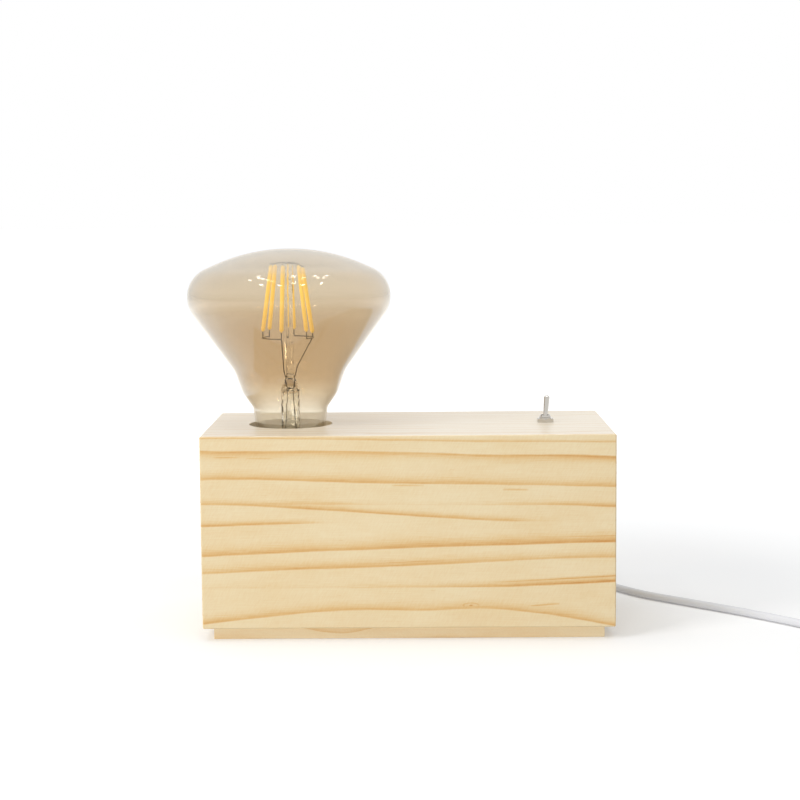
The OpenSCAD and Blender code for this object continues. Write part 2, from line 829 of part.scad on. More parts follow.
module switch_lever() {
    tip_r = lever_tip_d / 2;
    root_r = lever_root_d / 2;
    outline = concat(
        [[0, -tail_len], [tail_r * 0.6, -tail_len], [tail_r, tail_r * 0.4 - tail_len]],
        [for (a = [-60:15:45]) ball_r * [cos(a), sin(a)]],
        [[root_r, 1.9], [tip_r, lever_len - tip_r]],
        [for (a = [15:15:90]) [tip_r * cos(a), lever_len - tip_r + tip_r * sin(a)]]
    );
    color("silver") on_switch() translate([0, 0, pivot_z]) rotate([0, lever_lean, 0])
        rotate_extrude() polygon(outline);
}

module switch_rocker() {
    color("gold") on_switch() translate([0, 0, rocker_z]) rotate([0, -rocker_lean, 0])
        cube([rocker_len, rocker_w, rocker_t], center = true);
}

module switch_terminals() {
    drop = rocker_len / 2 * sin(rocker_lean) + rocker_t / 2 + 0.15;
    color("silver") on_switch() {
        translate([-lug_t / 2, -lug_w / 2, lug_z]) cube([lug_t, lug_w, rocker_z - 0.6 - lug_z]);
        translate([-lug_x - lug_t / 2, -lug_w / 2, lug_z]) cube([lug_t, lug_w, rocker_z - drop - lug_z]);
    }
}

// ---------- wiring ----------

module along_cord(front, back, r) {
    translate([gland_x, back, gland_z]) rotate([90, 0, 0]) cylinder(h = back - front, r = r);
}

module cord_gland() {
    color("white") difference() {
        union() {
            along_cord(half_d - board_t, half_d, gland_body_r);
            along_cord(half_d, half_d + gland_flange_t, gland_flange_r);
            translate([gland_x, cord_exit_y, gland_z]) rotate([90, 0, 0])
                cylinder(h = boot_l - gland_flange_t, r1 = boot_tip_r, r2 = boot_root_r);
        }
        along_cord(half_d - board_t - eps, cord_exit_y + eps, cord_r + fit);
    }
}

module cord_clamp() {
    color("white") difference() {
        translate([gland_x - clamp_w / 2, clamp_front, base_t]) cube([clamp_w, clamp_t, clamp_h]);
        along_cord(clamp_front - eps, clamp_front + clamp_t + eps, cord_r + fit);
        at_clamp_screws() translate([0, 0, base_t - eps])
            cylinder(h = clamp_h + 2 * eps, r = wood_screw_r + fit);
    }
}

module clamp_screws() {
    color("silver") at_clamp_screws() translate([0, 0, base_t + clamp_h]) mirror([0, 0, 1])
        round_screw(clamp_h + 4 - fit);
}

module cord_inner() {
    color("white") along_cord(sheath_end_y, cord_exit_y, cord_r);
}

lug_1 = [switch_x, 0, lug_z];
lug_2 = [switch_x - lug_x * cos(switch_turn), -lug_x * sin(switch_turn), lug_z];
nipple_x = 1.4;
NEUTRAL_ROUTE = [
    [gland_x - lead_split, sheath_end_y, gland_z], [gland_x - lead_split, sheath_end_y - 4, gland_z],
    [gland_x - 8, 0, 12], [30, 8, 9], [0, 11, 9], [bulb_x + 30, 8, 9], [bulb_x + 8, 2, 11],
    [bulb_x - nipple_x, 0, strap_top_z - 18], [bulb_x - nipple_x, 0, strap_top_z - 4],
    [bulb_x - nipple_x, 0, strap_top_z + 4], [bulb_x - 1.8, 0, lead_entry_z - 1.2],
    [bulb_x - 3.6, 0, lead_entry_z], [bulb_x - post_in, 0, lead_entry_z]
];
LIVE_ROUTE = [
    [gland_x + lead_split, sheath_end_y, gland_z], [gland_x + lead_split, sheath_end_y - 4, gland_z],
    [gland_x + 4, -4, 20], [switch_x - 4, -5, lug_z - 36], lug_1 - [0, 0, 12], lug_1 - [0, 0, 4], lug_1
];
SWITCHED_ROUTE = [
    lug_2, lug_2 - [0, 0, 4], lug_2 - [2, 4, 14], [switch_x - 22, -14, 40], [switch_x - 49.3, -16, 18],
    [bulb_x + 39.4, -10, 12], [bulb_x + 12, -2, 11], [bulb_x + nipple_x, 0, strap_top_z - 18],
    [bulb_x + nipple_x, 0, strap_top_z - 4],
    [bulb_x + nipple_x, 0, strap_top_z + 4], [bulb_x + 1.8, 0, lead_entry_z - 1.2],
    [bulb_x + 3.6, 0, lead_entry_z], [bulb_x + post_in, 0, lead_entry_z]
];
lead_sides = 8;
lead_steps = 4;

module lead_neutral() {
    color("steelblue") sweep(smooth(NEUTRAL_ROUTE, lead_steps), lead_r, lead_sides, [1, -1, 0.2]);
}

module lead_live() {
    color("saddlebrown") sweep(smooth(LIVE_ROUTE, lead_steps), lead_r, lead_sides, [1, 0.2, 0]);
}

module lead_switched() {
    color("saddlebrown") sweep(smooth(SWITCHED_ROUTE, lead_steps), lead_r, lead_sides, [0.3, 1, 0]);
}

// ---------- cord outside the block ----------

cord_sides = 8;
upward = [0, 0, 1];

module cord_free() {
    color("white") sweep(CORD_ROUTE, cord_r, cord_sides, upward);
}

module cord_tail() {
    color("white") sweep(TAIL_ROUTE, cord_r, cord_sides, upward);
}

coil_turns = coil_layers * layer_turns;
coil_in_r = coil_out_r - layer_turns * coil_pitch;
// Radius after t turns: in and out again at a steady rate
function coil_radius(t) =
    let (layer = floor(t / layer_turns), part = t - layer * layer_turns)
    layer % 2 == 0 ? coil_out_r - coil_pitch * part : coil_in_r + coil_pitch * part;
// Layers climbed after t turns, each in the half turn round a reversal
function coil_climb(t) = [
    for (k = [1:coil_layers - 1]) max(0, min(1, (t - k * layer_turns) * 2 + 0.5))
] * [for (k = [1:coil_layers - 1]) 1];
function coil_point(t) =
    let (angle = coil_start + 360 * t)
    [
        coil_x + coil_radius(t) * cos(angle),
        coil_y + coil_radius(t) * sin(angle),
        coil_low_z + coil_pitch * coil_climb(t)
    ];
coil_count = coil_turns * coil_rings;
COIL_ROUTE = concat(
    [coil_point(0) + [0, cord_d, 0]],
    [for (i = [0:coil_count - 1]) coil_point(i / coil_rings)],
    [coil_point(coil_turns)],
    [coil_point(coil_turns) + [0, cord_d, 0]]
);

module cord_coil() {
    color("white") sweep(COIL_ROUTE, cord_r, coil_sides, upward);
}

// Least gap of the coil to itself, between points at least a third of a turn apart
coil_gap = min([
    for (i = [0:len(COIL_ROUTE) - 1], j = [i + 8:1:len(COIL_ROUTE) - 1]) norm(COIL_ROUTE[i] - COIL_ROUTE[j])
]) - cord_d;
function route_length(p) = [for (i = [1:len(p) - 1]) norm(p[i] - p[i - 1])] * [for (i = [1:len(p) - 1]) 1];
echo(coil_gap = coil_gap);
echo(lengths = [route_length(CORD_ROUTE), route_length(COIL_ROUTE), route_length(TAIL_ROUTE)]);

// ---------- plug ----------

plug_neck_w = 12;
plug_neck_t = 9;
plug_neck_l = 8;
plug_shoulder_l = 21;
pin_root_l = 3;
pin_root_r = pin_d / 2 - 0.4;

// Places its children at the plug, with the cord coming in towards -Y
module on_plug() {
    translate([plug_x, plug_y, plug_z]) rotate([0, 0, 180]) children();
}

module plug_body() {
    w = plug_w / 2;
    n = plug_neck_w / 2;
    t = plug_t / 2;
    m = plug_neck_t / 2;
    color("white") on_plug() difference() {
        intersection() {
            prism_z([
                [n - 1.5, 0], [n, -plug_neck_l], [w - 5, -plug_neck_l - 6], [w, 1 - plug_shoulder_l],
                [w, -plug_l], [-w, -plug_l], [-w, 1 - plug_shoulder_l], [5 - w, -plug_neck_l - 6],
                [-n, -plug_neck_l], [1.5 - n, 0]
            ], -t, t);
            prism_x([
                [0, m - 1.5], [-plug_neck_l, m], [-plug_shoulder_l, t], [-plug_l, t],
                [-plug_l, -t], [-plug_shoulder_l, -t], [-plug_neck_l, -m], [0, 1.5 - m]
            ], plug_w);
        }
        for (side = [-1, 1]) translate([side * pin_gap / 2, pin_root_l + fit - plug_l, 0]) rotate([90, 0, 0])
            cylinder(h = pin_root_l + eps, r = pin_root_r + fit);
    }
}

module plug_pins() {
    color("silver") on_plug() for (side = [-1, 1])
        translate([side * pin_gap / 2, -plug_l, 0]) rotate([90, 0, 0]) {
            translate([0, 0, -pin_root_l]) cylinder(h = pin_root_l, r = pin_root_r);
            cylinder(h = pin_l - pin_d / 4, d = pin_d);
            translate([0, 0, pin_l - pin_d / 4]) cylinder(h = pin_d / 4, d1 = pin_d, d2 = pin_d / 2);
        }
}

// ---------- nodes ----------

front_panel();
back_panel();
left_panel();
right_panel();
top_panel();
base_plate();
corner_blocks();
base_screws();
bulb_glass();
bulb_stem();
filaments();
filament_wires();
bulb_leads();
bulb_cap();
cap_insulator();
tip_contact();
holder_bracket();
bracket_screws();
holder_nipple();
nipple_nuts();
holder_body();
holder_skirt();
holder_core();
screw_shell();
centre_contact();
holder_terminals();
terminal_screws();
switch_case();
switch_bushing();
switch_nut();
switch_lever();
switch_rocker();
switch_terminals();
cord_gland();
cord_clamp();
clamp_screws();
cord_inner();
lead_neutral();
lead_live();
lead_switched();
cord_free();
cord_coil();
cord_tail();
plug_body();
plug_pins();
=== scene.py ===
# %% [markdown]
# # A bare bulb table lamp
# A hollow pine block carries a filament bulb in a hole near one end, a toggle switch near the
# other and a white mains cord behind. The hard parts come from CAD in real sizes, and this
# lesson gives them their finishes, and makes again what CAD draws too coarsely for the eye:
# the blown glass, the wires, the screw thread, the cord and its plug.
# Everything is in metres, with the block standing on z = 0 and its front facing -Y.

from math import atan2, cos, hypot, pi, radians, sin, tan

import bmesh
import bpy
from mathutils import Matrix, Vector


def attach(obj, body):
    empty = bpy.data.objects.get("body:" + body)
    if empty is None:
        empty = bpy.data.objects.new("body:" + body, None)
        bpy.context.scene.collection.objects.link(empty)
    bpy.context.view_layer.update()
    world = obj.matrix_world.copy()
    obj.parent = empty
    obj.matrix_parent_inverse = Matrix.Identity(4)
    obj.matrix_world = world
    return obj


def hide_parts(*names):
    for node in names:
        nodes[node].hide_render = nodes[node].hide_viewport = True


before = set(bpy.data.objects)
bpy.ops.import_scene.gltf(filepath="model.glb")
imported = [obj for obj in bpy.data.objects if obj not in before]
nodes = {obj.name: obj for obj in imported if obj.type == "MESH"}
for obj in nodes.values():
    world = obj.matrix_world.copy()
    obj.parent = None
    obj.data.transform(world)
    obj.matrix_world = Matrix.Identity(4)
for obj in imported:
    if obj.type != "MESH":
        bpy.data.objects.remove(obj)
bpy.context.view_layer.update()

# %% [markdown]
# ## The camera
# The photograph was taken a little above the block's top, nearly square on, with a normal
# lens on a small sensor. The place and the angles below were solved from the corners of the
# block, so a point of the model falls on its own point of the photograph.

# %% Camera
MM = 0.001
CAMERA_MM = (4.62, -893.83, 207.68)
turn, dip, tilt = radians(-0.551), radians(5.811), radians(-0.456)
ahead = Vector((sin(turn) * cos(dip), cos(turn) * cos(dip), -sin(dip)))
level = Vector((cos(turn), -sin(turn), 0))
overhead = level.cross(ahead)
right = cos(tilt) * level + sin(tilt) * overhead
top = -sin(tilt) * level + cos(tilt) * overhead
lens = bpy.data.cameras.new("lens")
lens.lens, lens.sensor_width, lens.shift_y = 80.0, 36.0, -0.0125
lens.clip_start, lens.clip_end = 0.01, 100
camera = bpy.data.objects.new("camera", lens)
camera.matrix_world = Matrix(
    [[*row, place * MM] for row, place in zip(zip(right, top, -ahead), CAMERA_MM)] + [[0, 0, 0, 1]]
)
bpy.context.scene.collection.objects.link(camera)
bpy.context.scene.camera = camera
print("camera at", camera.location[:])

# %% [markdown]
# ## The mains cord
# A round two-core flex, 4 mm thick and about 1.8 m long, as table lamps have. It leaves the
# back of the block in its strain relief, sinks to the table, passes the block's end and runs
# off to the right as in the photograph. The rest is wound into a coil for storage. The points
# are the CAD route's own, and a curve with a round bevel follows them.

# %% Routes, in millimetres
CORD = 4.0
CORD_ROUTE = [
    (58, 72, 14), (58, 76, 14), (58, 79, 13.9), (59.1, 85.8, 12.6), (62.2, 91.9, 10.2), (67.1, 96.8, 7.4),
    (73.2, 99.9, 4.6), (80, 101, 2.7), (86.8, 99.9, 2.1), (92.9, 96.8, 2.1), (97.8, 91.9, 2.1),
    (100.9, 85.8, 2.1), (103.5, 78.3, 2.1), (106.3, 70.9, 2.1), (109.5, 63.7, 2.1), (113.3, 56.8, 2.1),
    (117.6, 50.2, 2.1), (124, 41.4, 2.1), (131, 34, 2.1), (138, 27.4, 2.1), (145, 21, 2.1),
    (152, 14.4, 2.1), (159, 8, 2.1), (166, 1.2, 2.1), (172.8, -5.6, 2.1), (179.6, -12.8, 2.1),
    (186.4, -20.4, 2.1), (192.6, -27.6, 2.1), (197.4, -33.6, 2.1), (201.2, -40.2, 2.1),
    (203.8, -47.2, 2.1), (205, -54, 2.1), (205, -58, 2.1),
]
TAIL_ROUTE = [
    (263, -58, 15.9), (263, -54, 15.9), (262.2, -47, 15.4), (260, -40.4, 14), (256.8, -34.2, 11.8),
    (253.4, -28.4, 9.4), (250.8, -22, 7.6), (250, -16, 7), (250, -12, 7),
]
COIL_CENTRE, COIL_LOW, COIL_OUT, COIL_PITCH = (234, -62), 2.1, 29, 4.6
LAYERS, LAYER_TURNS, TURN_POINTS = 4, 2.625, 36


def smoothed(points, steps):
    """The points of a smooth curve through the given ones, with straight ends."""
    made = [Vector(points[0])]
    for i in range(1, len(points) - 2):
        a, b, c, d = (Vector(p) for p in points[i - 1 : i + 3])
        for k in range(steps):
            t = k / steps
            square, cube = 2 * a - 5 * b + 4 * c - d, 3 * b - a - 3 * c + d
            made.append(0.5 * (2 * b + (c - a) * t + square * t * t + cube * t**3))
    return made + [Vector(points[-2]), Vector(points[-1])]


def within(value):
    """The value, kept from 0 to 1."""
    return min(max(value, 0), 1)


def coil_point(turns):
    """The cord's centre after so many turns: each layer winds in or out over the last."""
    layer = min(int(turns / LAYER_TURNS), LAYERS - 1)
    part = (turns - layer * LAYER_TURNS) * COIL_PITCH
    r = COIL_OUT - part if layer % 2 == 0 else COIL_OUT - LAYER_TURNS * COIL_PITCH + part
    climb = sum(within((turns - k * LAYER_TURNS) * 2 + 0.5) for k in range(1, LAYERS))
    angle = pi + 2 * pi * turns
    x, y = COIL_CENTRE
    return Vector((x + r * cos(angle), y + r * sin(angle), COIL_LOW + COIL_PITCH * climb))


coil_steps = int(LAYERS * LAYER_TURNS * TURN_POINTS)
cord_path = (
    smoothed(CORD_ROUTE, 4)
    + [coil_point(i / TURN_POINTS) for i in range(coil_steps + 1)]
    + smoothed(TAIL_ROUTE, 4)
)
cord_path = [p * MM for p in cord_path]
cord_length = sum((b - a).length for a, b in zip(cord_path, cord_path[1:]))
print("cord:", len(cord_path), "points,", round(cord_length, 3), "m")

# %% A curve from points
def linked(obj):
    """The same object, put in the scene."""
    bpy.context.scene.collection.objects.link(obj)
    return obj


def line_object(name, paths, radius=0.0, ring=4):
    """A curve object with one straight-sided spline for each path, in metres."""
    data = bpy.data.curves.new(name, "CURVE")
    data.dimensions = "3D"
    data.bevel_depth, data.bevel_resolution, data.use_fill_caps = radius, ring, radius > 0
    for path in paths:
        spline = data.splines.new("POLY")
        spline.points.add(len(path) - 1)
        for point, place in zip(spline.points, path):
            point.co = (*place, 1)
        spline.use_smooth = True
    return linked(bpy.data.objects.new(name, data))


mains_cord = line_object("mains_cord", [cord_path], CORD / 2 * MM, 5)

# %% [markdown]
# ## Colours and nodes
# Colours are written as sRGB hex, as a colour picker gives them, and turned to the linear
# values that the shaders work in. One small function adds a node with its settings and links,
# and a few more stand for the nodes that every finish uses, so that each reads as a recipe.

# %% Helpers for materials
def colour(code):
    """Linear RGBA from an sRGB hex code."""
    parts = [int(code[i : i + 2], 16) / 255 for i in (0, 2, 4)]
    return (*[p / 12.92 if p <= 0.04045 else ((p + 0.055) / 1.055) ** 2.4 for p in parts], 1)


def add(tree, kind, sockets=None, **settings):
    """A node of that kind, with values or links on its sockets."""
    node = tree.nodes.new(kind)
    for name, value in settings.items():
        setattr(node, name, value)
    for name, value in (sockets or {}).items():
        if isinstance(value, bpy.types.NodeSocket):
            tree.links.new(value, node.inputs[name])
        else:
            node.inputs[name].default_value = value
    return node


def calculate(tree, operation, *values, **settings):
    """The result of one sum on numbers, which are values or links."""
    return add(tree, "ShaderNodeMath", dict(enumerate(values)), operation=operation, **settings).outputs[0]


def vector(tree, operation, *values):
    """The result of one sum on vectors. A length is a number."""
    node = add(tree, "ShaderNodeVectorMath", dict(enumerate(values)), operation=operation)
    return node.outputs["Value" if operation == "LENGTH" else "Vector"]


def remap(tree, value, before=(0.0, 1.0), after=(0.0, 1.0), kind="LINEAR"):
    """A number carried from one range to another, and kept inside it."""
    sockets = dict(zip(("From Min", "From Max", "To Min", "To Max"), (*before, *after)))
    return add(tree, "ShaderNodeMapRange", {"Value": value, **sockets}, interpolation_type=kind).outputs[0]


def noise(tree, place, scale, detail):
    """Cloudy noise from 0 to 1."""
    sockets = {"Vector": place, "Scale": scale, "Detail": detail}
    return add(tree, "ShaderNodeTexNoise", sockets).outputs[0]


def bumped(tree, height, strength, distance):
    """The normal of a surface that rises by height times distance, in metres."""
    sockets = {"Strength": strength, "Distance": distance, "Height": height}
    return add(tree, "ShaderNodeBump", sockets).outputs[0]


def blend(tree, factor, first, second):
    """The colour between two others."""
    sockets = {"Factor": factor, "A": first, "B": second}
    return add(tree, "ShaderNodeMix", sockets, data_type="RGBA").outputs["Result"]


def new_material(name):
    """An empty material with its tree and its output."""
    material = bpy.data.materials.new(name)
    material.use_nodes = True
    material.node_tree.nodes.clear()
    return material, material.node_tree, add(material.node_tree, "ShaderNodeOutputMaterial")


def paint(material, *names):
    """Gives CAD nodes this material."""
    for name in names:
        mesh = nodes[name].data
        mesh.materials.clear()
        mesh.materials.append(material)


# %% [markdown]
# ## Pine
# Six planed boards of pine, oiled or waxed, mitred so that no end grain shows. Pine has wide
# pale early wood that darkens slowly into a narrow band of orange late wood and then starts
# again at a sharp edge. On the front board each of these growth lines is drawn as a curve of
# height over length, as the photograph shows them. On the other boards, rings round a bent
# pith give lines of the same kind. Short fibres and a few dark resin flecks lie along the
# grain, and the surface is planed smooth with a dull sheen (IOR 1.5, roughness about 0.5).

# %% Growth lines of the front board
# Half the board's length and its height in mm, and the highest strength a line can have
HALF_LENGTH, HEIGHT, TOP_STRENGTH = 100.0, 100.0, 2.0
# Each line: its strength as (x, strength), its fade in mm (negative fades down), and its
# places as (x, z) in mm. The short ones are dashes of resin.
GROWTH_LINES = [
    ([(-100, 0.55), (0, 0.6), (100, 0.55)], 1.5,
     [(-100, 99.0), (-44, 98.6), (2, 97.6), (39, 96.9), (100, 96.3)]),
    ([(-100, 0.85), (-20, 0.7), (60, 0.85), (100, 1.0)], -4.4,
     [(-100, 92.9), (-90, 92.5), (-42, 92.4), (8, 91.2), (39, 90.2), (79, 89.8), (100, 88.9)]),
    ([(-94, 0.0), (-88, 0.6), (-80, 0.0)], -0.8, [(-100, 89.9), (100, 88.4)]),
    ([(-78, 0.0), (-71, 0.5), (-64, 0.0)], -0.7, [(-100, 89.4), (100, 88.8)]),
    ([(-100, 0.7), (0, 0.8), (60, 0.65), (100, 0.75)], 5.4,
     [(-100, 79.2), (-74, 79.3), (-53, 78.6), (-15, 77.3), (39, 76.2), (66, 75.6), (100, 74.7)]),
    ([(-8, 0.0), (-1, 0.55), (8, 0.0)], -0.8, [(-100, 76.4), (100, 75.2)]),
    ([(45, 0.0), (51, 0.6), (58, 0.0)], -0.9, [(-100, 74.6), (100, 73.0)]),
    ([(-100, 0.65), (-40, 0.8), (20, 0.8), (48, 0.6), (66, 0.1), (100, 0.05)], 3.4,
     [(-100, 67.2), (-73, 66.4), (-44, 64.5), (-15, 62.4), (8, 60.8), (26, 59.5), (43, 58.7), (100, 57.9)]),
    ([(-100, 0.35), (-50, 0.5), (0, 0.1), (40, 0.3), (78, 0.7), (100, 1.0)], 2.8,
     [(-100, 67.4), (5, 66.5), (52, 66.2), (79, 66.0), (92, 65.3), (100, 65.1)]),
    ([(-100, 0.9), (-62, 0.8), (-42, 0.2), (-30, 0.0)], 3.0,
     [(-100, 56.6), (-73, 57.2), (-56, 57.6), (-30, 58.0), (100, 58.4)]),
    ([(-100, 0.8), (-20, 0.85), (30, 0.95), (100, 1.1)], 6.4,
     [(-100, 41.9), (-70, 43.2), (-45, 44.2), (-26, 44.8), (8, 46.0), (25, 46.3), (59, 47.2), (100, 47.9)]),
    ([(42, 0.0), (66, 0.5), (100, 0.8)], 1.0, [(-100, 43.0), (40, 48.8), (70, 50.2), (100, 50.8)]),
    ([(-100, 0.6), (-30, 0.8), (20, 0.75), (60, 0.6), (100, 0.6)], 5.2,
     [(-100, 33.4), (-63, 35.0), (-15, 36.4), (8, 37.2), (39, 38.6), (66, 39.8), (100, 40.3)]),
    ([(-55, 0.0), (-28, 0.6), (5, 0.75), (34, 0.45), (60, 0.0)], 0.9,
     [(-100, 33.6), (-63, 36.4), (-15, 37.9), (8, 38.7), (39, 40.2), (100, 42.4)]),
    ([(-100, 0.1), (0, 0.35), (30, 0.75), (60, 1.0), (100, 1.15)], 3.6,
     [(-100, 26.4), (5, 26.2), (45, 26.4), (59, 26.9), (79, 27.6), (100, 28.6)]),
    ([(36, 0.0), (56, 0.7), (78, 0.95), (100, 1.1)], 1.3,
     [(-100, 26.8), (36, 28.2), (60, 29.0), (80, 30.0), (100, 31.2)]),
    ([(-100, 0.85), (-40, 0.7), (20, 0.6), (60, 0.7), (100, 0.85)], 5.2,
     [(-100, 8.6), (-63, 12.8), (-29, 15.2), (7, 14.9), (25, 15.6),
      (35, 15.8), (59, 13.8), (79, 10.6), (100, 6.6)]),
    ([(58, 0.0), (66, 0.75), (73, 0.0)], 1.1, [(-100, 16.0), (58, 16.6), (73, 17.6), (100, 18.0)]),
]
# A pin knot: its place, its half length and its half height in mm.
KNOT_X, KNOT_Z, KNOT_L, KNOT_H = 30.0, 17.0, 4.6, 1.5

# %% The grain of pine
# How deep the pith lies and how far a line wanders and trembles, in mm, and how much of the
# distance from the pith a ring follows
PITH_DEPTH, WANDER, TREMBLE, ROUNDNESS = 150.0, 20.0, 0.9, 0.6


def late_wood(tree, distance, fade):
    """1 at a growth line, fading over fade mm on its slow side and at once on the other."""
    side = 1 if fade > 0 else -1
    slow = remap(tree, distance, (0.0, float(fade)), (1.0, 0.0))
    # A narrow strong core with a long weak shoulder.
    core = calculate(tree, "MULTIPLY", calculate(tree, "POWER", slow, 3.2), 0.6)
    slow = calculate(tree, "MULTIPLY_ADD", slow, 0.4, core)
    sharp = remap(tree, distance, (-0.8 * side, 0.2 * side), kind="SMOOTHSTEP")
    return calculate(tree, "MULTIPLY", slow, sharp)


def followed(tree, share, points, top):
    """A number from 0 to top that follows (x, number) points from the board's left end."""
    curve = add(tree, "ShaderNodeFloatCurve", {"Value": share})
    track = curve.mapping.curves[0]
    placed = [((x + HALF_LENGTH) / (2 * HALF_LENGTH), much / top) for x, much in points]
    for point, place in zip(track.points, (placed[0], placed[-1])):
        point.location = place
    for place in placed[1:-1]:
        track.points.new(*place)
    curve.mapping.update()
    return calculate(tree, "MULTIPLY", curve.outputs[0], top)


def drawn_lines(tree, along, height, lines):
    """How dark the late wood is, from growth lines drawn one by one, and the pin knot."""
    share = remap(tree, along, (-HALF_LENGTH, HALF_LENGTH))
    late = 0.0
    for strengths, fade, places in lines:
        distance = calculate(tree, "SUBTRACT", height, followed(tree, share, places, HEIGHT))
        strength = followed(tree, share, strengths, TOP_STRENGTH)
        band = calculate(tree, "MULTIPLY", late_wood(tree, distance, fade), strength)
        late = calculate(tree, "MAXIMUM", late, band)
    # The pin knot is a dark ring round a darker heart.
    off = add(tree, "ShaderNodeCombineXYZ", {0: along, 1: height}).outputs[0]
    off = vector(tree, "SUBTRACT", off, (KNOT_X, KNOT_Z, 0))
    off = vector(tree, "LENGTH", vector(tree, "MULTIPLY", off, (1 / KNOT_L, 1 / KNOT_H, 0)))
    band = calculate(tree, "ABSOLUTE", calculate(tree, "SUBTRACT", off, 0.8))
    band = remap(tree, band, (0.0, 0.3), (0.6, 0.0))
    heart = remap(tree, off, (0.0, 0.4), (1.2, 0.0))
    return calculate(tree, "MAXIMUM", calculate(tree, "MAXIMUM", late, band), heart)


def ring_lines(tree, across, inward, wander, tremble, spacing):
    """How dark the late wood is, from rings round a pith far below the board."""
    depth = calculate(tree, "ADD", inward, PITH_DEPTH)
    offset = calculate(tree, "MULTIPLY_ADD", wander, WANDER, across)
    flat = add(tree, "ShaderNodeCombineXYZ", {0: offset, 1: depth}).outputs[0]
    offset = calculate(tree, "MULTIPLY_ADD", tremble, TREMBLE, offset)
    tilted = calculate(tree, "MULTIPLY_ADD", vector(tree, "LENGTH", flat), ROUNDNESS, offset)
    # A ring's number is the distance over the spacing.
    number = calculate(tree, "DIVIDE", tilted, float(spacing))
    distance = calculate(tree, "MULTIPLY", calculate(tree, "FRACT", number), float(spacing))
    # Rings of different years differ in strength.
    year = calculate(tree, "FLOOR", number)
    luck = add(tree, "ShaderNodeTexWhiteNoise", {"W": year}, noise_dimensions="1D").outputs["Value"]
    luck = remap(tree, luck, after=(0.3, 0.85))
    return calculate(tree, "MULTIPLY", late_wood(tree, distance, 0.42 * spacing), luck)


PINE_TONES = ("E9D7B1", "E3C898", "DBB275", "CA904C")


def pine_material(name, length, up, rings, seed, tones=PINE_TONES, lines=None, rough=(0.42, 0.55)):
    """Pine whose grain runs along one axis. length and up are that axis and the one across
    the lines, rings the ring spacing in mm, tones four colours from early to late wood,
    lines the drawn growth lines, if any, and rough the least and most roughness."""
    material, tree, out = new_material(name)
    at = add(tree, "ShaderNodeTexCoord").outputs["Object"]
    mm = add(tree, "ShaderNodeVectorMath", {0: at, "Scale": 1000.0}, operation="SCALE").outputs[0]
    axes = add(tree, "ShaderNodeSeparateXYZ", {0: mm})
    along, across = axes.outputs[length], axes.outputs[up]
    inward = axes.outputs[3 - length - up]
    # Coordinates along, across and into the board, shared by the patterns below.
    board = add(tree, "ShaderNodeCombineXYZ", {0: along, 1: across, 2: inward}).outputs[0]

    def grain(along_mm, across_mm, sort, detail, roughness=0.5):
        """Noise drawn out along the board, from its steps per mm along and across."""
        drawn = vector(tree, "MULTIPLY", board, (along_mm, across_mm, across_mm))
        sockets = {"Vector": drawn, "W": seed + sort, "Scale": 1.0, "Detail": detail, "Roughness": roughness}
        return add(tree, "ShaderNodeTexNoise", sockets, noise_dimensions="4D").outputs[0]

    # A fine tremble of the lines, a few tenths of a millimetre.
    tremble = calculate(tree, "SUBTRACT", grain(0.035, 0.35, 5.0, 3.0), 0.5)
    if lines:
        height = calculate(tree, "MULTIPLY_ADD", tremble, TREMBLE, across)
        late = drawn_lines(tree, along, height, lines)
    else:
        # A slow wander of the lines, by a few millimetres over 60 mm of length.
        wander = grain(0.012, 0.05, 0.0, 2.0)
        late = ring_lines(tree, across, inward, wander, tremble, rings)
    # Fibres: streaks 0.3 mm wide and 15 mm long.
    fibre = grain(0.07, 3.2, 9.0, 4.0, 0.6)
    grainy = remap(tree, fibre, (0.35, 0.75), (-0.05, 0.1))
    # Broad cloudy changes of tone, 40 mm long and 12 mm wide.
    tone = remap(tree, grain(0.025, 0.085, 13.0, 2.0), (0.3, 0.7), (0.0, 0.14))
    # The planer leaves faint slanting marks, 0.7 mm wide and 4 mm long.
    slant = add(tree, "ShaderNodeVectorRotate", {"Vector": board, "Angle": radians(-62)}).outputs[0]
    slant = vector(tree, "MULTIPLY", slant, (0.25, 1.4, 1.0))
    planed = remap(tree, noise(tree, slant, 1.0, 2.0), (0.3, 0.7), (-0.04, 0.06))
    # Resin flecks: rare dark dashes, 0.4 mm by 6 mm.
    fleck = remap(tree, grain(0.11, 1.9, 17.0, 1.0), (0.735, 0.8), (0.0, 0.5))
    # Late wood is streaky: its fibres take up more or less of the dark resin.
    streak = remap(tree, fibre, (0.3, 0.7), (0.7, 1.15))
    late = calculate(tree, "MULTIPLY", late, streak)
    dark = calculate(tree, "MULTIPLY_ADD", calculate(tree, "MAXIMUM", late, fleck), 0.9, tone)
    dark = calculate(tree, "ADD", calculate(tree, "ADD", dark, grainy), planed)
    ramp = add(tree, "ShaderNodeValToRGB", {0: dark})
    ramp.color_ramp.elements[0].color = colour(tones[0])
    ramp.color_ramp.elements[1].color = colour(tones[3])
    ramp.color_ramp.elements.new(0.25).color = colour(tones[1])
    ramp.color_ramp.elements.new(0.6).color = colour(tones[2])
    bumps = calculate(tree, "MULTIPLY_ADD", late, 0.4, fibre)
    shader = add(
        tree, "ShaderNodeBsdfPrincipled",
        {
            "Base Color": ramp.outputs[0], "Roughness": remap(tree, fibre, (0.3, 0.7), rough), "IOR": 1.5,
            "Normal": bumped(tree, bumps, 0.12, 0.0002),
        },
    )
    tree.links.new(shader.outputs[0], out.inputs[0])
    return material


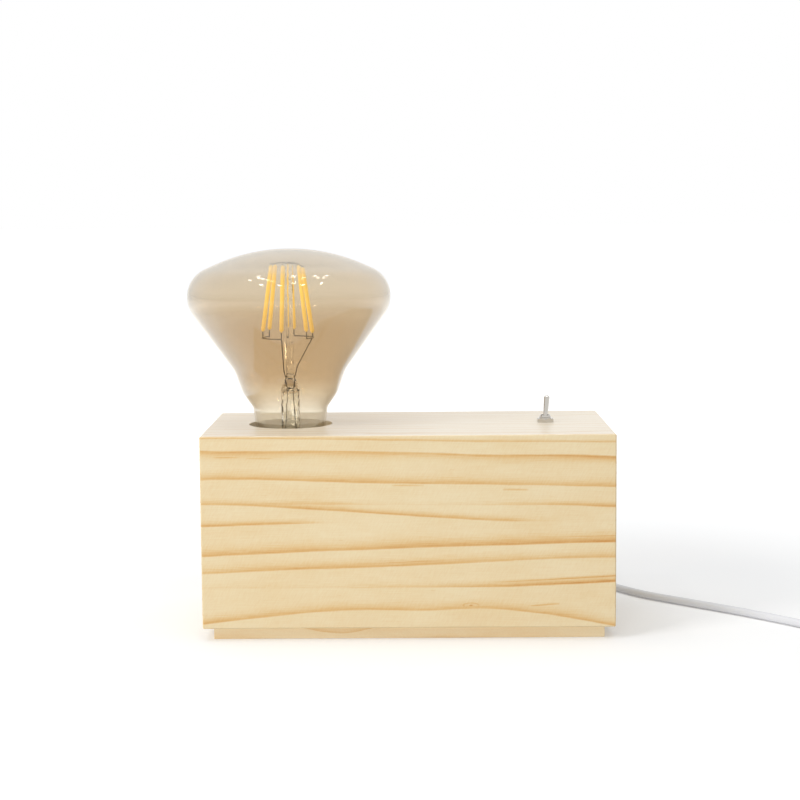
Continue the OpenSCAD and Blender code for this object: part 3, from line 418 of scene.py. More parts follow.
paint(pine_material("pine_planed_front", 0, 2, 9, 1.0, lines=GROWTH_LINES), "front_panel")
paint(pine_material("pine_planed_back", 0, 2, 9, 21.0), "back_panel")
# The top board's tones are paler than the other boards': painted light, standing in for the pale sheen and
# brighter light on the top face.
TOP_TONES_PAINTED_SHEEN = ("F3E8D5", "EEDFC6", "E6CFAC", "D8B284")
paint(pine_material("pine_planed_top_painted_sheen", 0, 1, 8, 34.0, TOP_TONES_PAINTED_SHEEN, rough=(0.27, 0.36)), "top_panel")
paint(pine_material("pine_planed_left", 1, 2, 9, 47.0), "left_panel")
paint(pine_material("pine_planed_right", 1, 2, 8, 52.0), "right_panel")
# The base plate's tones are paler still: painted light, brightening the recessed plinth that lies in the
# block's shade.
BASE_TONES_PAINTED_LIGHT = ("FAE6C0", "F5DAAD", "EBC68B", "DDA966")
paint(pine_material("pine_planed_base_painted_light", 0, 1, 7, 68.0, BASE_TONES_PAINTED_LIGHT), "base_plate")
print("boards painted:", [n for n in nodes if n.endswith(("panel", "plate"))])

# %% [markdown]
# ## Plain finishes
# Most other parts are plated or moulded. Each recipe starts from the real metal or plastic,
# and differs in colour, roughness and the size of its faint unevenness: tumbled screws are
# cloudy over half a millimetre, moulded plastic has a spark texture of a tenth.

# %% A recipe for plated and moulded parts
def even_material(name, base, rough, grain_mm, metal=False, ior=1.5, spread=0.06, bump=0.05, coat=0.0):
    """One colour with faint unevenness of tone, gloss and height, grain_mm across."""
    material, tree, out = new_material(name)
    at = add(tree, "ShaderNodeTexCoord").outputs["Object"]
    grain = noise(tree, at, 1000.0 / grain_mm, 3.0)
    tone = colour(base)[:3]
    dark = (*[c * (1 - spread) for c in tone], 1)
    light = (*[min(c * (1 + spread), 1) for c in tone], 1)
    sockets = {
        "Base Color": blend(tree, grain, dark, light),
        "Roughness": remap(tree, grain, (0.3, 0.7), (max(rough - spread, 0.02), rough + spread)),
        "Metallic": float(metal),
        "Normal": bumped(tree, grain, bump, grain_mm * 0.0002),
        "Coat Weight": coat,
    }
    if not metal:
        sockets["IOR"] = ior
    shader = add(tree, "ShaderNodeBsdfPrincipled", sockets)
    tree.links.new(shader.outputs[0], out.inputs[0])
    return material


# Nickel plate on brass: a mirror with a slightly warm white.
nickel = even_material("nickel_plated_brass", "C8C4BD", 0.07, 1.5, metal=True, spread=0.03, bump=0.02)
# Zinc plate on steel screws: bluish and cloudy.
zinc = even_material("zinc_plated_steel", "B9BDC2", 0.34, 0.5, metal=True)
# Cold-rolled strap steel, zinc plated and pressed.
strap = even_material("zinc_plated_strap", "AEB2B6", 0.4, 2.0, metal=True, spread=0.08)
# Drawn brass: yellow, with a satin drawn skin.
brass = even_material("drawn_brass", "D9B25F", 0.28, 0.6, metal=True)
# Tinned copper lugs: grey-white and soft.
tinned = even_material("tinned_copper", "C9CBCB", 0.38, 0.4, metal=True)
# Lead-free solder: bright dome with small dimples.
solder = even_material("tin_solder", "D2D3D2", 0.22, 0.7, metal=True, bump=0.15)
# Nickel plate on the plug's brass pins, polished.
pins = even_material("nickel_plated_pins", "E2E0DB", 0.16, 0.8, metal=True, spread=0.03)
# Phenolic moulding of the holder: glossy off-white thermoset.
phenolic = even_material("phenolic_moulded_white", "E8E4DA", 0.3, 0.3, ior=1.55)
# Glazed porcelain core of the holder.
porcelain = even_material("porcelain_glazed", "F0ECE2", 0.12, 3.0, ior=1.5, spread=0.03, coat=0.3)
# Red thermoset body of the toggle switch.
switch_red = even_material("melamine_moulded_red", "8E2B20", 0.36, 0.2, ior=1.55)
# Black glass between the cap's rim and its tip.
cap_glass = even_material("vitrite_black_glass", "1E1D24", 0.1, 1.0, ior=1.55, spread=0.03)
# Soft white PVC of cord, gland and plug.
white_pvc = even_material("pvc_soft_white", "E2E3E7", 0.42, 0.5, ior=1.53, spread=0.03)
# Hard white nylon of the cord clamp.
nylon = even_material("nylon_moulded_white", "ECEAE4", 0.45, 0.3, ior=1.53)
# Core insulation in the two mains colours.
blue_pvc = even_material("pvc_core_blue", "3E6FA8", 0.4, 0.4, ior=1.53)
brown_pvc = even_material("pvc_core_brown", "6B4226", 0.4, 0.4, ior=1.53)
# Sawn spruce of the corner blocks, rough and pale.
spruce = pine_material("spruce_sawn", 2, 0, 4, 75.0, ("E4CFA5", "DFC595", "D4B27A", "C49A60"))

paint(spruce, "corner_blocks")
paint(zinc, "base_screws", "bracket_screws", "clamp_screws", "terminal_screws")
paint(strap, "holder_bracket")
paint(brass, "holder_nipple", "nipple_nuts", "screw_shell", "centre_contact", "holder_terminals")
paint(brass, "switch_rocker")
paint(phenolic, "holder_body", "holder_skirt")
paint(porcelain, "holder_core")
paint(switch_red, "switch_case")
paint(nickel, "switch_bushing", "switch_nut", "switch_lever")
paint(tinned, "switch_terminals")
paint(cap_glass, "cap_insulator")
paint(solder, "tip_contact")
paint(nylon, "cord_clamp")

# %% [markdown]
# ## Turned shapes
# The bulb, its glass stem and the strain relief are all round, so one function turns an
# outline about an axis. The outline is closed, inside wall included, so that the shape is a
# solid wall and not a paper skin. Points on the axis become one pole each.

# %% Turning an outline
def closed_mesh(name, bm):
    """An object from a BMesh, with its faces outwards."""
    bmesh.ops.recalc_face_normals(bm, faces=bm.faces)
    mesh = bpy.data.meshes.new(name)
    bm.to_mesh(mesh)
    bm.free()
    return linked(bpy.data.objects.new(name, mesh))


def band(bm, lower, upper):
    """Faces between two closed rings of points. A ring of one point is a pole."""
    count = max(len(lower), len(upper))
    for k in range(count):
        j = (k + 1) % count
        corners = [ring[i % len(ring)] for ring, i in ((lower, k), (lower, j), (upper, j), (upper, k))]
        bm.faces.new(list(dict.fromkeys(corners)))


def turned(name, outline, centre, segments, axis="Z"):
    """A closed outline of (radius, along) in mm, turned about Z or Y through centre."""
    bm = bmesh.new()
    rings = []
    for r, along in outline:
        ring = []
        for k in range(segments if r > 1e-6 else 1):
            a = 2 * pi * k / segments
            x, y = r * cos(a), r * sin(a)
            local = (x, y, along) if axis == "Z" else (x, along, -y)
            ring.append(bm.verts.new([(c + p) * MM for c, p in zip(centre, local)]))
        rings.append(ring)
    for lower, upper in zip(rings, rings[1:] + rings[:1]):
        if len(lower) > 1 or len(upper) > 1:
            band(bm, lower, upper)
    made = closed_mesh(name, bm)
    made.data.shade_smooth()
    return made


def creased(obj, angle=40):
    """Smooth shading that stops at edges sharper than the angle."""
    alone = {"selected_objects": [obj], "selected_editable_objects": [obj]}
    with bpy.context.temp_override(object=obj, active_object=obj, **alone):
        bpy.ops.object.shade_smooth_by_angle(angle=radians(angle))
    for modifier in list(obj.modifiers):
        obj.modifiers.remove(modifier)


def finished(obj, material, body, slot, *replaced):
    """The last steps for a piece: its material, its body and what it stands for. The slot is not used."""
    obj.data.materials.clear()
    obj.data.materials.append(material)
    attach(obj, body)
    if replaced:
        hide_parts(*replaced)
    return obj


# %% [markdown]
# ## The bulb's glass
# A mushroom-shaped envelope, blown from 0.8 mm glass with a thin amber film. Such a wall
# hardly bends what is seen through it, but the film tints it and mirrors the room, weakly
# head on and strongly at the rim. So the shader mixes a tinted see-through part with a
# mirror, by how edge-on the wall is seen. The outline is the CAD outline with its roundings
# in finer steps.

# %% The bulb's outline
BULB_X, TIP_Z, GLASS_WALL = -59.4, 58.0, 0.8
crown_x = 92 * tan(radians(12))
BULB_CORNERS = [
    (0, 130.5, 0), (crown_x, 130.5, 92), (59.1, 130.5 - (59.1 - crown_x) * tan(radians(24)), 15.3),
    (28, 69.5, 17.3), (24.1, 58.2, 14.2), (18.9, 51, 2.5), (16.9, 37.5, 6), (12.6, 29.5, 4), (12.6, 25.4, 0),
]


def rounded(corners, inwards=0.0, step=radians(3), straight=3.0):
    """The outline through the corners, each rounded to its radius and moved inwards."""
    made = []
    for before, here, after in zip(corners, corners[1:], corners[2:]):
        b, r = Vector(here[:2]), here[2]
        u, w = (Vector(before[:2]) - b).normalized(), (Vector(after[:2]) - b).normalized()
        half = u.angle(w) / 2
        centre = b + (u + w).normalized() * r / sin(half)
        start, end = b + u * r / tan(half) - centre, b + w * r / tan(half) - centre
        sweep = atan2(start.x * end.y - start.y * end.x, start.dot(end))
        moved = r - inwards if sweep < 0 else r + inwards
        first = atan2(start.y, start.x)
        steps = max(3, int(abs(sweep) / step))
        arc = []
        for i in range(steps + 1):
            a = first + sweep * i / steps
            arc.append(centre + moved * Vector((cos(a), sin(a))))
        if made:
            run = arc[0] - made[-1]
            pieces = max(1, int(run.length / straight))
            made += [made[-1] + run * i / pieces for i in range(1, pieces)]
        made += arc
    made.append(Vector((corners[-1][0] - inwards, corners[-1][1])))
    return [(max(p.x, 0.0) if p.x > 1e-4 else 0.0, p.y) for p in made]


outside = rounded(BULB_CORNERS)
inside = rounded(BULB_CORNERS, GLASS_WALL)
bulb_wall = turned("bulb_wall", outside + inside[::-1], (BULB_X, 0, TIP_Z), 128)
print("bulb:", len(bulb_wall.data.polygons), "faces, outline of", len(outside), "points")

# %% Amber film glass
# What one face passes head on where the film is full, and where there is none
FILM_PASS, BARE_PASS = (0.83, 0.75, 0.635, 1), (0.985, 0.98, 0.95, 1)
# What bare glass and the neck mirror head on, how late the mirror grows towards the rim, and
# the tint that the film gives it
BARE_MIRROR, NECK_MIRROR, RIM_POWER, FILM_SHINE = 0.04, 0.22, 2.5, (0.88, 0.85, 0.8, 1)
# Between which heights in mm over the cap's tip the film begins, thins, and the neck ends
FILM_BEGINS, FILM_THINS, NECK_ENDS = (46, 66), (88, 112), (38, 51)


def over_tip(heights):
    """Heights over the cap's tip in mm, as places in metres."""
    return [(TIP_Z + z) * MM for z in heights]


amber_glass, tree, out = new_material("glass_blown_amber_film")
at = add(tree, "ShaderNodeTexCoord").outputs["Object"]
height = add(tree, "ShaderNodeSeparateXYZ", {0: at}).outputs[2]
# The film lies thickest below the belly, and thins out over the dome and towards the cap.
rise = remap(tree, height, over_tip(FILM_BEGINS), (0.15, 1.0))
fall = remap(tree, height, over_tip(FILM_THINS), (1.0, 0.5), "SMOOTHSTEP")
tint = blend(tree, calculate(tree, "MULTIPLY", rise, fall), BARE_PASS, FILM_PASS)
see = add(tree, "ShaderNodeBsdfTransparent", {"Color": tint}).outputs[0]
# How edge-on the wall is: 0 head on, 1 at the rim.
edge = add(tree, "ShaderNodeLayerWeight", {"Blend": 0.5}).outputs["Facing"]
steep = calculate(tree, "POWER", edge, RIM_POWER)
# The neck is silvered a little by the flame that sealed it, and mirrors more head on.
least = remap(tree, height, over_tip(NECK_ENDS), (NECK_MIRROR, BARE_MIRROR))
share = calculate(tree, "MULTIPLY_ADD", steep, calculate(tree, "SUBTRACT", 1.0, least), least)
# Blown glass is wavy over a few centimetres, by some hundredths of a millimetre.
wavy = bumped(tree, noise(tree, at, 55.0, 1.5), 1.0, 0.05 * MM)
sockets = {"Color": FILM_SHINE, "Roughness": 0.0, "Normal": wavy}
gloss = add(tree, "ShaderNodeBsdfAnisotropic", sockets).outputs[0]
both = add(tree, "ShaderNodeMixShader", {0: share, 1: see, 2: gloss}).outputs[0]
tree.links.new(both, out.inputs[0])
finished(bulb_wall, amber_glass, "bulb", "amber_glass", "bulb_glass")

# %% [markdown]
# ## The stem
# A flared glass tube holds the bulb's inside. It narrows to a tube, is pressed flat round
# the two wires that pass through it, and goes on as a solid rod that carries the filaments.
# It is thick enough to bend what is behind it, so it gets a real refracting shader, with a
# see-through part for rays from the lamps, so that it casts no black shadow.

# %% Stem
STEM_OUT = [
    (11.6, 25.8), (11.6, 26.8), (10.4, 27.8), (8, 29.5), (5.8, 32.5), (4.95, 35), (4.75, 38), (4.75, 48),
    (4.75, 57), (4.5, 60), (3.4, 63), (2.4, 65.4), (1.9, 67.4), (1.85, 70), (1.85, 96), (1.85, 121.6),
    (1.5, 122.6), (0.8, 123.3), (0, 123.3),
]
STEM_IN = [
    (0, 60.6), (1.1, 60.5), (2, 60.2), (3.0, 59.2), (3.9, 57.5), (3.9, 48), (3.9, 38), (4.1, 35.4), (4.9, 33),
    (7.2, 30.3), (9.6, 28.4), (10.7, 27.2), (10.7, 25.8),
]


def eased(outline, steps=4):
    """More points along an outline, on a smooth curve through the given ones."""
    return [(max(p.x, 0.0), p.y) for p in smoothed([(r, z, 0) for r, z in outline], steps)]


stem_glass = turned("stem_glass", eased(STEM_OUT) + eased(STEM_IN), (BULB_X, 0, TIP_Z), 48)


def solid_glass(name, tint):
    """Clear glass that bends light, but lets lamps through for what it covers."""
    material, tree, out = new_material(name)
    at = add(tree, "ShaderNodeTexCoord").outputs["Object"]
    glass = add(
        tree, "ShaderNodeBsdfPrincipled",
        {
            "Base Color": (*tint, 1), "Roughness": 0.02, "IOR": 1.5, "Transmission Weight": 1.0,
            "Normal": bumped(tree, noise(tree, at, 260.0, 1.0), 0.8, 0.0008),
        },
    ).outputs[0]
    clear = add(tree, "ShaderNodeBsdfTransparent", {"Color": (*tint, 1)}).outputs[0]
    lamp = add(tree, "ShaderNodeLightPath").outputs["Is Shadow Ray"]
    both = add(tree, "ShaderNodeMixShader", {0: lamp, 1: glass, 2: clear}).outputs[0]
    tree.links.new(both, out.inputs[0])
    return material


clear_glass = solid_glass("glass_clear_drawn", (0.97, 0.97, 0.95))
finished(stem_glass, clear_glass, "bulb", "clear_glass", "bulb_stem")

# %% [markdown]
# ## Filaments
# Six straight sticks stand in a cone round the rod. Each is a strip of tiny lamps in a round
# coat of yellow phosphor, 2.1 mm thick. A stick runs straight between points on two circles,
# and Geometry Nodes sweep a round profile along it, which closes at the ends. The wires in
# the lamp are swept in the same way.

# %% A tree for Geometry Nodes
def new_tree(name, inputs):
    """A geometry tree with named inputs: (name, kind, value)."""
    tree = bpy.data.node_groups.new(name, "GeometryNodeTree")
    tree.interface.new_socket("Geometry", in_out="INPUT", socket_type="NodeSocketGeometry")
    for label, kind, value in inputs:
        socket = tree.interface.new_socket(label, in_out="INPUT", socket_type=kind)
        if value is not None:
            socket.default_value = value
    tree.interface.new_socket("Geometry", in_out="OUTPUT", socket_type="NodeSocketGeometry")
    return tree, add(tree, "NodeGroupInput").outputs, add(tree, "NodeGroupOutput").inputs


def swept(tree, given, result, curve, profile, **more):
    """The rest of such a tree: the profile swept along the curve, smooth, with its material."""
    sockets = {"Curve": curve, "Profile Curve": profile, **more, "Fill Caps": True}
    tube = add(tree, "GeometryNodeCurveToMesh", sockets)
    tube = add(tree, "GeometryNodeSetShadeSmooth", {"Geometry": tube.outputs[0]})
    whole = add(tree, "GeometryNodeRealizeInstances", {"Geometry": tube.outputs[0]})
    skin = add(tree, "GeometryNodeSetMaterial", {"Geometry": whole.outputs[0], "Material": given["Skin"]})
    tree.links.new(skin.outputs[0], result["Geometry"])


def grown(name, source, tree, values):
    """The plain mesh that a tree makes from an object, with the tree's inputs by name."""
    modifier = source.modifiers.new("grown", "NODES")
    modifier.node_group = tree
    for item in tree.interface.items_tree:
        if item.item_type == "SOCKET" and item.in_out == "INPUT" and item.name in values:
            modifier[item.identifier] = values[item.name]
    bpy.context.view_layer.update()
    done = source.evaluated_get(bpy.context.evaluated_depsgraph_get())
    mesh = bpy.data.meshes.new_from_object(done)
    source.modifiers.remove(modifier)
    bpy.data.objects.remove(source)
    mesh.name = name
    print(name, "-", len(mesh.polygons), "faces")
    return linked(bpy.data.objects.new(name, mesh))


# %% Wires that follow paths
wire_tree, given, result = new_tree(
    "wire along a path",
    [
        ("Radius", "NodeSocketFloat", 0.0003), ("Sides", "NodeSocketInt", 8),
        ("Skin", "NodeSocketMaterial", None),
    ],
)
sockets = {"Resolution": given["Sides"], "Radius": given["Radius"]}
ring = add(wire_tree, "GeometryNodeCurvePrimitiveCircle", sockets)
swept(wire_tree, given, result, given["Geometry"], ring.outputs[0])


def wires(name, paths, radius, sides, material, body, slot, *replaced):
    """Tubes along paths in mm, made by the tree above, as a finished piece."""
    source = line_object(name + "_path", [[Vector(p) * MM for p in path] for path in paths])
    made = grown(name, source, wire_tree, {"Radius": radius * MM, "Sides": sides, "Skin": material})
    creased(made, 50)
    return finished(made, material, body, slot, *replaced)


# %% Where the sticks stand, in mm
STICKS, LOW, HIGH, LOW_R, HIGH_R, TURN, OFF_X = 6, 89.0, 122.5, 13.0, 8.1, 20, -0.9
# The angle between two sticks, and how much lower the first one stands
APART, DROP = 360 / STICKS, 1.4
# The wire's radius, and how far the lower ring's underside lies under the lowest foot
WIRE_R, RING_UNDER = 0.3, 2.2
RING_Z = LOW - DROP - RING_UNDER + 2 * WIRE_R


def on_circle(r, degrees, z):
    """A point of the bulb's inside, from its radius, angle and height over the tip."""
    return Vector((BULB_X + OFF_X + r * cos(radians(degrees)), r * sin(radians(degrees)), TIP_Z + z))


def stick_ends(i):
    """A stick's foot and head. The first one stands a little lower."""
    drop = DROP if i % STICKS == 0 else 0
    angle = TURN + APART * i
    return on_circle(LOW_R, angle, LOW - drop), on_circle(HIGH_R, angle, HIGH - drop)


# Yellow phosphor in silicone: soft and slightly waxy. Its emission is painted light: a small glow, under any
# lamp, that makes the sticks brighter than the light through the amber glass would.
phosphor, tree, out = new_material("phosphor_in_silicone_painted_glow")
at = add(tree, "ShaderNodeTexCoord").outputs["Object"]
dust = noise(tree, at, 1400.0, 2.0)
wax_painted_glow = add(
    tree, "ShaderNodeBsdfPrincipled",
    {
        "Base Color": blend(tree, dust, colour("FFD65C"), colour("FFE88C")), "Roughness": 0.45, "IOR": 1.41,
        "Normal": bumped(tree, dust, 0.2, 0.0001),
        # The emission is a painted glow: the unlit sticks are no lamp.
        "Emission Color": colour("FFD968"), "Emission Strength": 0.5,
    },
)
tree.links.new(wax_painted_glow.outputs[0], out.inputs[0])

# %% Filament sticks
stick_tree, given, result = new_tree(
    "sticks between pairs of points",
    [("Radius", "NodeSocketFloat", 0.001), ("Skin", "NodeSocketMaterial", None)],
)
fine = add(stick_tree, "GeometryNodeResampleCurve", {"Curve": given["Geometry"], "Count": 33})
along = add(stick_tree, "GeometryNodeSplineParameter").outputs["Length"]
size = add(stick_tree, "GeometryNodeSplineLength").outputs["Length"]
back = calculate(stick_tree, "SUBTRACT", size, along)
# The sticks' ends are round: the radius shrinks as a circle does in the last radius of length.
near = calculate(stick_tree, "MINIMUM", along, back)
reach = calculate(stick_tree, "DIVIDE", near, given["Radius"])
reach = calculate(stick_tree, "SUBTRACT", 1.0, reach, use_clamp=True)
dome = calculate(stick_tree, "SUBTRACT", 1.0, calculate(stick_tree, "POWER", reach, 2.0))
dome = calculate(stick_tree, "SQRT", calculate(stick_tree, "MAXIMUM", dome, 0.02))
ring = add(stick_tree, "GeometryNodeCurvePrimitiveCircle", {"Resolution": 20, "Radius": given["Radius"]})
swept(stick_tree, given, result, fine.outputs[0], ring.outputs[0], Scale=dome)

STICK_R, STICK_STEPS = 1.05, 60
lines = []
for i in range(STICKS):
    foot, head = stick_ends(i)
    lines.append([(foot + (head - foot) * k / STICK_STEPS) * MM for k in range(STICK_STEPS + 1)])
stick_lines = line_object("stick_lines", lines)
sticks = grown("filament_sticks", stick_lines, stick_tree, {"Radius": STICK_R * MM, "Skin": phosphor})
finished(sticks, phosphor, "bulb", "phosphor", "filaments")

# %% [markdown]
# ## Wires in the bulb
# Nickel wires, 0.6 mm thick and dulled grey by the heat of sealing, join the sticks' feet in
# two arcs, hold their heads by six spokes from the rod's top, and lead down through the
# press to the cap. They follow the CAD routes and are swept by the wire tree.

# %% Support and lead wires
wire_grey = even_material("nickel_wire_oxidised", "8A857C", 0.3, 0.5, metal=True, spread=0.08)


def arc(first, last, steps=16):
    """The lower ring's wire from one stick to another."""
    a, b = TURN + APART * first, TURN + APART * last
    return [on_circle(LOW_R, a + (b - a) * k / steps, RING_Z - WIRE_R) for k in range(steps + 1)]


# How high the spokes lie over the sticks' heads, and their hub over the spokes
SPOKE_RISE, HUB_RISE = 0.35, 0.8
supports = [arc(-1, 1), arc(2, 4)]
hub = Vector((BULB_X, 0, TIP_Z + HIGH + HUB_RISE + SPOKE_RISE))
for i in range(STICKS):
    foot, head = stick_ends(i)
    tip = head + Vector((0, 0, SPOKE_RISE))
    out_way = (tip - hub).normalized()
    middle = (hub + tip) / 2 + Vector((0, 0, 0.25))
    supports.append([hub, *smoothed([hub, hub + out_way * 2, middle, tip, tip + out_way * 0.6], 4)[1:]])
    base = Vector((foot.x, foot.y, TIP_Z + RING_Z))
    supports.append([base, (base + foot) / 2, foot])
wires("support_wires", supports, WIRE_R, 8, wire_grey, "bulb", "support_wire", "filament_wires")


TIP = Vector((BULB_X, 0, TIP_Z))


def from_tip(points):
    """Points given from the cap's tip, in the lamp's own frame."""
    return [TIP + Vector(p) for p in points]


def lead_top(i):
    """Where a lead wire meets the lower ring, from the cap's tip."""
    return on_circle(LOW_R, TURN + APART * i, RING_Z - 2 * WIRE_R) - TIP


RIGHT_LEAD = [
    lead_top(0), (4.4, 1, 72.6), (2.9, 0, 67.8), (1.4, 0, 61.5), (1.8, 0, 52), (3, 0, 38), (5.2, 0, 30),
    (5.2, 0, 14), (0, 0, 12), (0, 0, 3.1),
]
LEFT_LEAD = [
    lead_top(4), (-3, -4, 72), (-2.9, 0, 67.8), (-1.4, 0, 61.5), (-1.8, 0, 52), (-3, 0, 38), (-5.6, 0, 30),
    (-11.3, 0, 23.5),
]
leads = [smoothed(from_tip(RIGHT_LEAD), 8), smoothed(from_tip(LEFT_LEAD), 8)]
wires("lead_wires", leads, WIRE_R, 8, wire_grey, "bulb", "support_wire", "bulb_leads")

# %% [markdown]
# ## The screw cap
# A thin brass shell with a rolled round thread, pitch 3.63 mm, nickel plated. CAD has closed
# rings there, so that it can be checked as a solid. Here the wave climbs as it goes round,
# which is what the eye expects when the bulb is screwed out.

# %% Screw cap
PITCH, THREAD, CAP_R, CAP_WALL = 3.63, 0.9, 13.15, 0.35
CAP_LOW, THREAD_HIGH, CAP_HIGH = 7.0, 25.0, 28.0
# Over how many mm of height the thread begins and ends
THREAD_START, THREAD_END = 2.5, 3.0


def cap_radius(z, angle):
    """Outside radius of the cap at a height and an angle: a wave that climbs a pitch a turn."""
    wave = (1 - cos(2 * pi * ((z - CAP_LOW - 0.4) / PITCH - angle / (2 * pi)))) / 2
    begun = within((z - CAP_LOW) / THREAD_START)
    deep = within((THREAD_HIGH + 1.0 - z) / THREAD_END) * begun
    return CAP_R - THREAD * (1 - wave) * deep - THREAD * (1 - begun)


ROWS, AROUND = 72, 96
bm = bmesh.new()
walls = []
for wall in (0.0, CAP_WALL):
    grid = []
    for i in range(ROWS + 1):
        z = CAP_LOW + (CAP_HIGH - CAP_LOW) * i / ROWS
        ring = []
        for k in range(AROUND):
            a = 2 * pi * k / AROUND
            r = cap_radius(z, a) - wall
            ring.append(bm.verts.new(((BULB_X + r * cos(a)) * MM, r * sin(a) * MM, (TIP_Z + z) * MM)))
        grid.append(ring)
    walls.append(grid)
for grid in walls:
    for lower, upper in zip(grid, grid[1:]):
        band(bm, lower, upper)
for i in (0, ROWS):
    band(bm, walls[0][i], walls[1][i])
screw_cap = closed_mesh("screw_cap", bm)
creased(screw_cap, 45)
# Nickel-plated brass, rolled: bright, with fine cloudiness.
cap_metal = even_material("nickel_rolled_cap", "CFCBC2", 0.2, 0.8, metal=True, spread=0.04)
finished(screw_cap, cap_metal, "bulb", "cap_metal", "bulb_cap")

# %% [markdown]
# ## Wiring inside the block
# Three single cores run inside: blue from the cord to the screw shell, brown from the cord
# to the switch, and brown again from the switch to the centre contact. The round sheath of
# the cord comes in through the gland and the clamp and ends there. They follow the CAD
# routes, and are swept finer than CAD sweeps them.

# %% Inner wiring
NEUTRAL = [
    (56.9, 10, 14), (56.9, 6, 14), (50, 0, 12), (30, 8, 9), (0, 11, 9), (-29.4, 8, 9), (-51.4, 2, 11),
    (-60.8, 0, 18), (-60.8, 0, 32), (-60.8, 0, 40), (-61.2, 0, 42.8), (-63, 0, 44), (-65.4, 0, 44),
]
LIVE = [
    (59.1, 10, 14), (59.1, 6, 14), (62, -4, 20), (65.3, -5, 45), (69.3, 0, 69), (69.3, 0, 77), (69.3, 0, 81),
]
SWITCHED = [
    (67.31, -4.26, 81), (67.31, -4.26, 77), (65.31, -8.26, 67), (47.3, -14, 40), (20, -16, 18),
    (-20, -10, 12), (-47.4, -2, 11), (-58, 0, 18), (-58, 0, 32), (-58, 0, 40), (-57.6, 0, 42.8),
    (-55.8, 0, 44), (-53.4, 0, 44),
]
CORE_R = 1.0
for name, route, plastic, slot, lead in (
    ("core_blue", NEUTRAL, blue_pvc, "blue_pvc", "lead_neutral"),
    ("core_brown_live", LIVE, brown_pvc, "brown_pvc", "lead_live"),
    ("core_brown_switched", SWITCHED, brown_pvc, "brown_pvc", "lead_switched"),
):
    wires(name, [smoothed(route, 8)], CORE_R, 16, plastic, "lamp", slot, lead)
GLAND_X, GLAND_Z, SHEATH_END, CORD_EXIT = 58, 14, 10, 72
sheath = [(GLAND_X, SHEATH_END + (CORD_EXIT - SHEATH_END) * k / 24, GLAND_Z) for k in range(25)]
wires("cord_sheath_inside", [sheath], CORD / 2, 24, white_pvc, "lamp", "white_pvc", "cord_inner")

# %% [markdown]
# ## The strain relief
# A soft sleeve that tapers from its flange on the back board to the cord, and is cut by
# half-round grooves, so that it bends more and more easily towards its tip. It is turned
# about the cord's axis like the bulb, with the bore that the cord fills.

# %% Strain relief
FLANGE_R, BOOT_ROOT, BOOT_TIP = 6.0, 4.6, 2.9
BOARD_FRONT, BOARD_BACK, BOOT_LOW, BOOT_HIGH = 38.0, 50.0, 52.0, 72.0
GROOVES, GROOVE_W, GROOVE_DEEP, GROOVE_APART = 6, 1.5, 0.75, 2.7


def boot_radius(y):
    """The taper's radius at a place along the cord."""
    return BOOT_ROOT + (BOOT_TIP - BOOT_ROOT) * (y - BOOT_LOW) / (BOOT_HIGH - BOOT_LOW)


bore = CORD / 2 + 0.05
boot = [
    (bore, BOARD_FRONT), (5.0, BOARD_FRONT), (5.0, BOARD_BACK), (FLANGE_R - 0.1, BOARD_BACK),
    (FLANGE_R, BOARD_BACK + 0.2), (FLANGE_R, BOARD_BACK + 1.4), (FLANGE_R - 0.2, BOARD_BACK + 1.85),
    (FLANGE_R - 0.6, BOOT_LOW), (BOOT_ROOT + 0.15, BOOT_LOW), (boot_radius(BOOT_LOW + 0.6), BOOT_LOW + 0.6),
]
for k in range(GROOVES):
    start = BOOT_LOW + 2.0 + GROOVE_APART * k
    for i in range(9):
        y = start + GROOVE_W * (1 - cos(pi * i / 8)) / 2
        boot.append((boot_radius(y) - GROOVE_DEEP * sin(pi * i / 8), y))
boot += [(boot_radius(71.6), 71.6), (BOOT_TIP - 0.25, BOOT_HIGH), (bore, BOOT_HIGH)]
relief = turned("strain_relief", boot, (GLAND_X, 0, GLAND_Z), 64, axis="Y")
creased(relief, 35)
finished(relief, white_pvc, "lamp", "white_pvc", "cord_gland")
print("strain relief:", len(relief.data.polygons), "faces")

# %% [markdown]
# ## The plug
# A flat two-pole plug without earth, moulded on the cord: a body that is wide at its face
# and narrows to a neck, with hollows for the fingers and ribs on the neck. It is lofted:
# each cross-section is a rounded rectangle of its own size, and the sections are joined.
# The pins are turned brass from CAD, and each gets the insulating sleeve that keeps a finger
# from touching live metal when the plug is half out.

# %% Plug body
PLUG = (250.0, -12.0, 7.0)
SECTIONS = [
    # place along, half width, half thickness, corner radius, how far the finger hollow dips
    (0.0, 4.3, 2.8, 2.6, 0), (0.35, 4.7, 3.15, 2.9, 0), (1.6, 4.85, 3.35, 3.0, 0), (2.0, 4.35, 2.95, 2.8, 0),
    (2.7, 4.35, 2.95, 2.8, 0), (3.1, 5.15, 3.6, 3.1, 0), (4.3, 5.3, 3.8, 3.2, 0), (4.7, 4.75, 3.3, 3.0, 0),
    (5.4, 4.75, 3.3, 3.0, 0), (5.8, 5.6, 4.1, 3.3, 0), (7.0, 5.8, 4.3, 3.4, 0), (8.4, 6.4, 4.55, 3.6, 0),
    (10.0, 8.2, 4.9, 3.9, 0.1), (12.0, 10.7, 5.35, 4.2, 0.35), (14.0, 12.9, 5.8, 4.5, 0.75),
    (16.5, 15.0, 6.3, 4.8, 1.15), (19.0, 16.6, 6.65, 5.0, 1.4), (21.5, 17.4, 6.8, 5.1, 1.45),
    (24.0, 17.6, 6.85, 5.1, 1.3), (27.0, 17.6, 6.85, 5.1, 0.85), (29.5, 17.6, 6.85, 5.1, 0.35),
    (32.0, 17.6, 6.85, 5.1, 0), (34.6, 17.6, 6.85, 5.1, 0), (35.4, 17.4, 6.65, 4.9, 0),
    (35.85, 17.0, 6.25, 4.6, 0), (36.0, 16.4, 5.7, 4.2, 0),
]
# Steps round a corner, the length of a step along a side in mm, and the points of a section
CORNER_STEPS, SIDE_STEP, SECTION_POINTS = 7, 1.6, 72


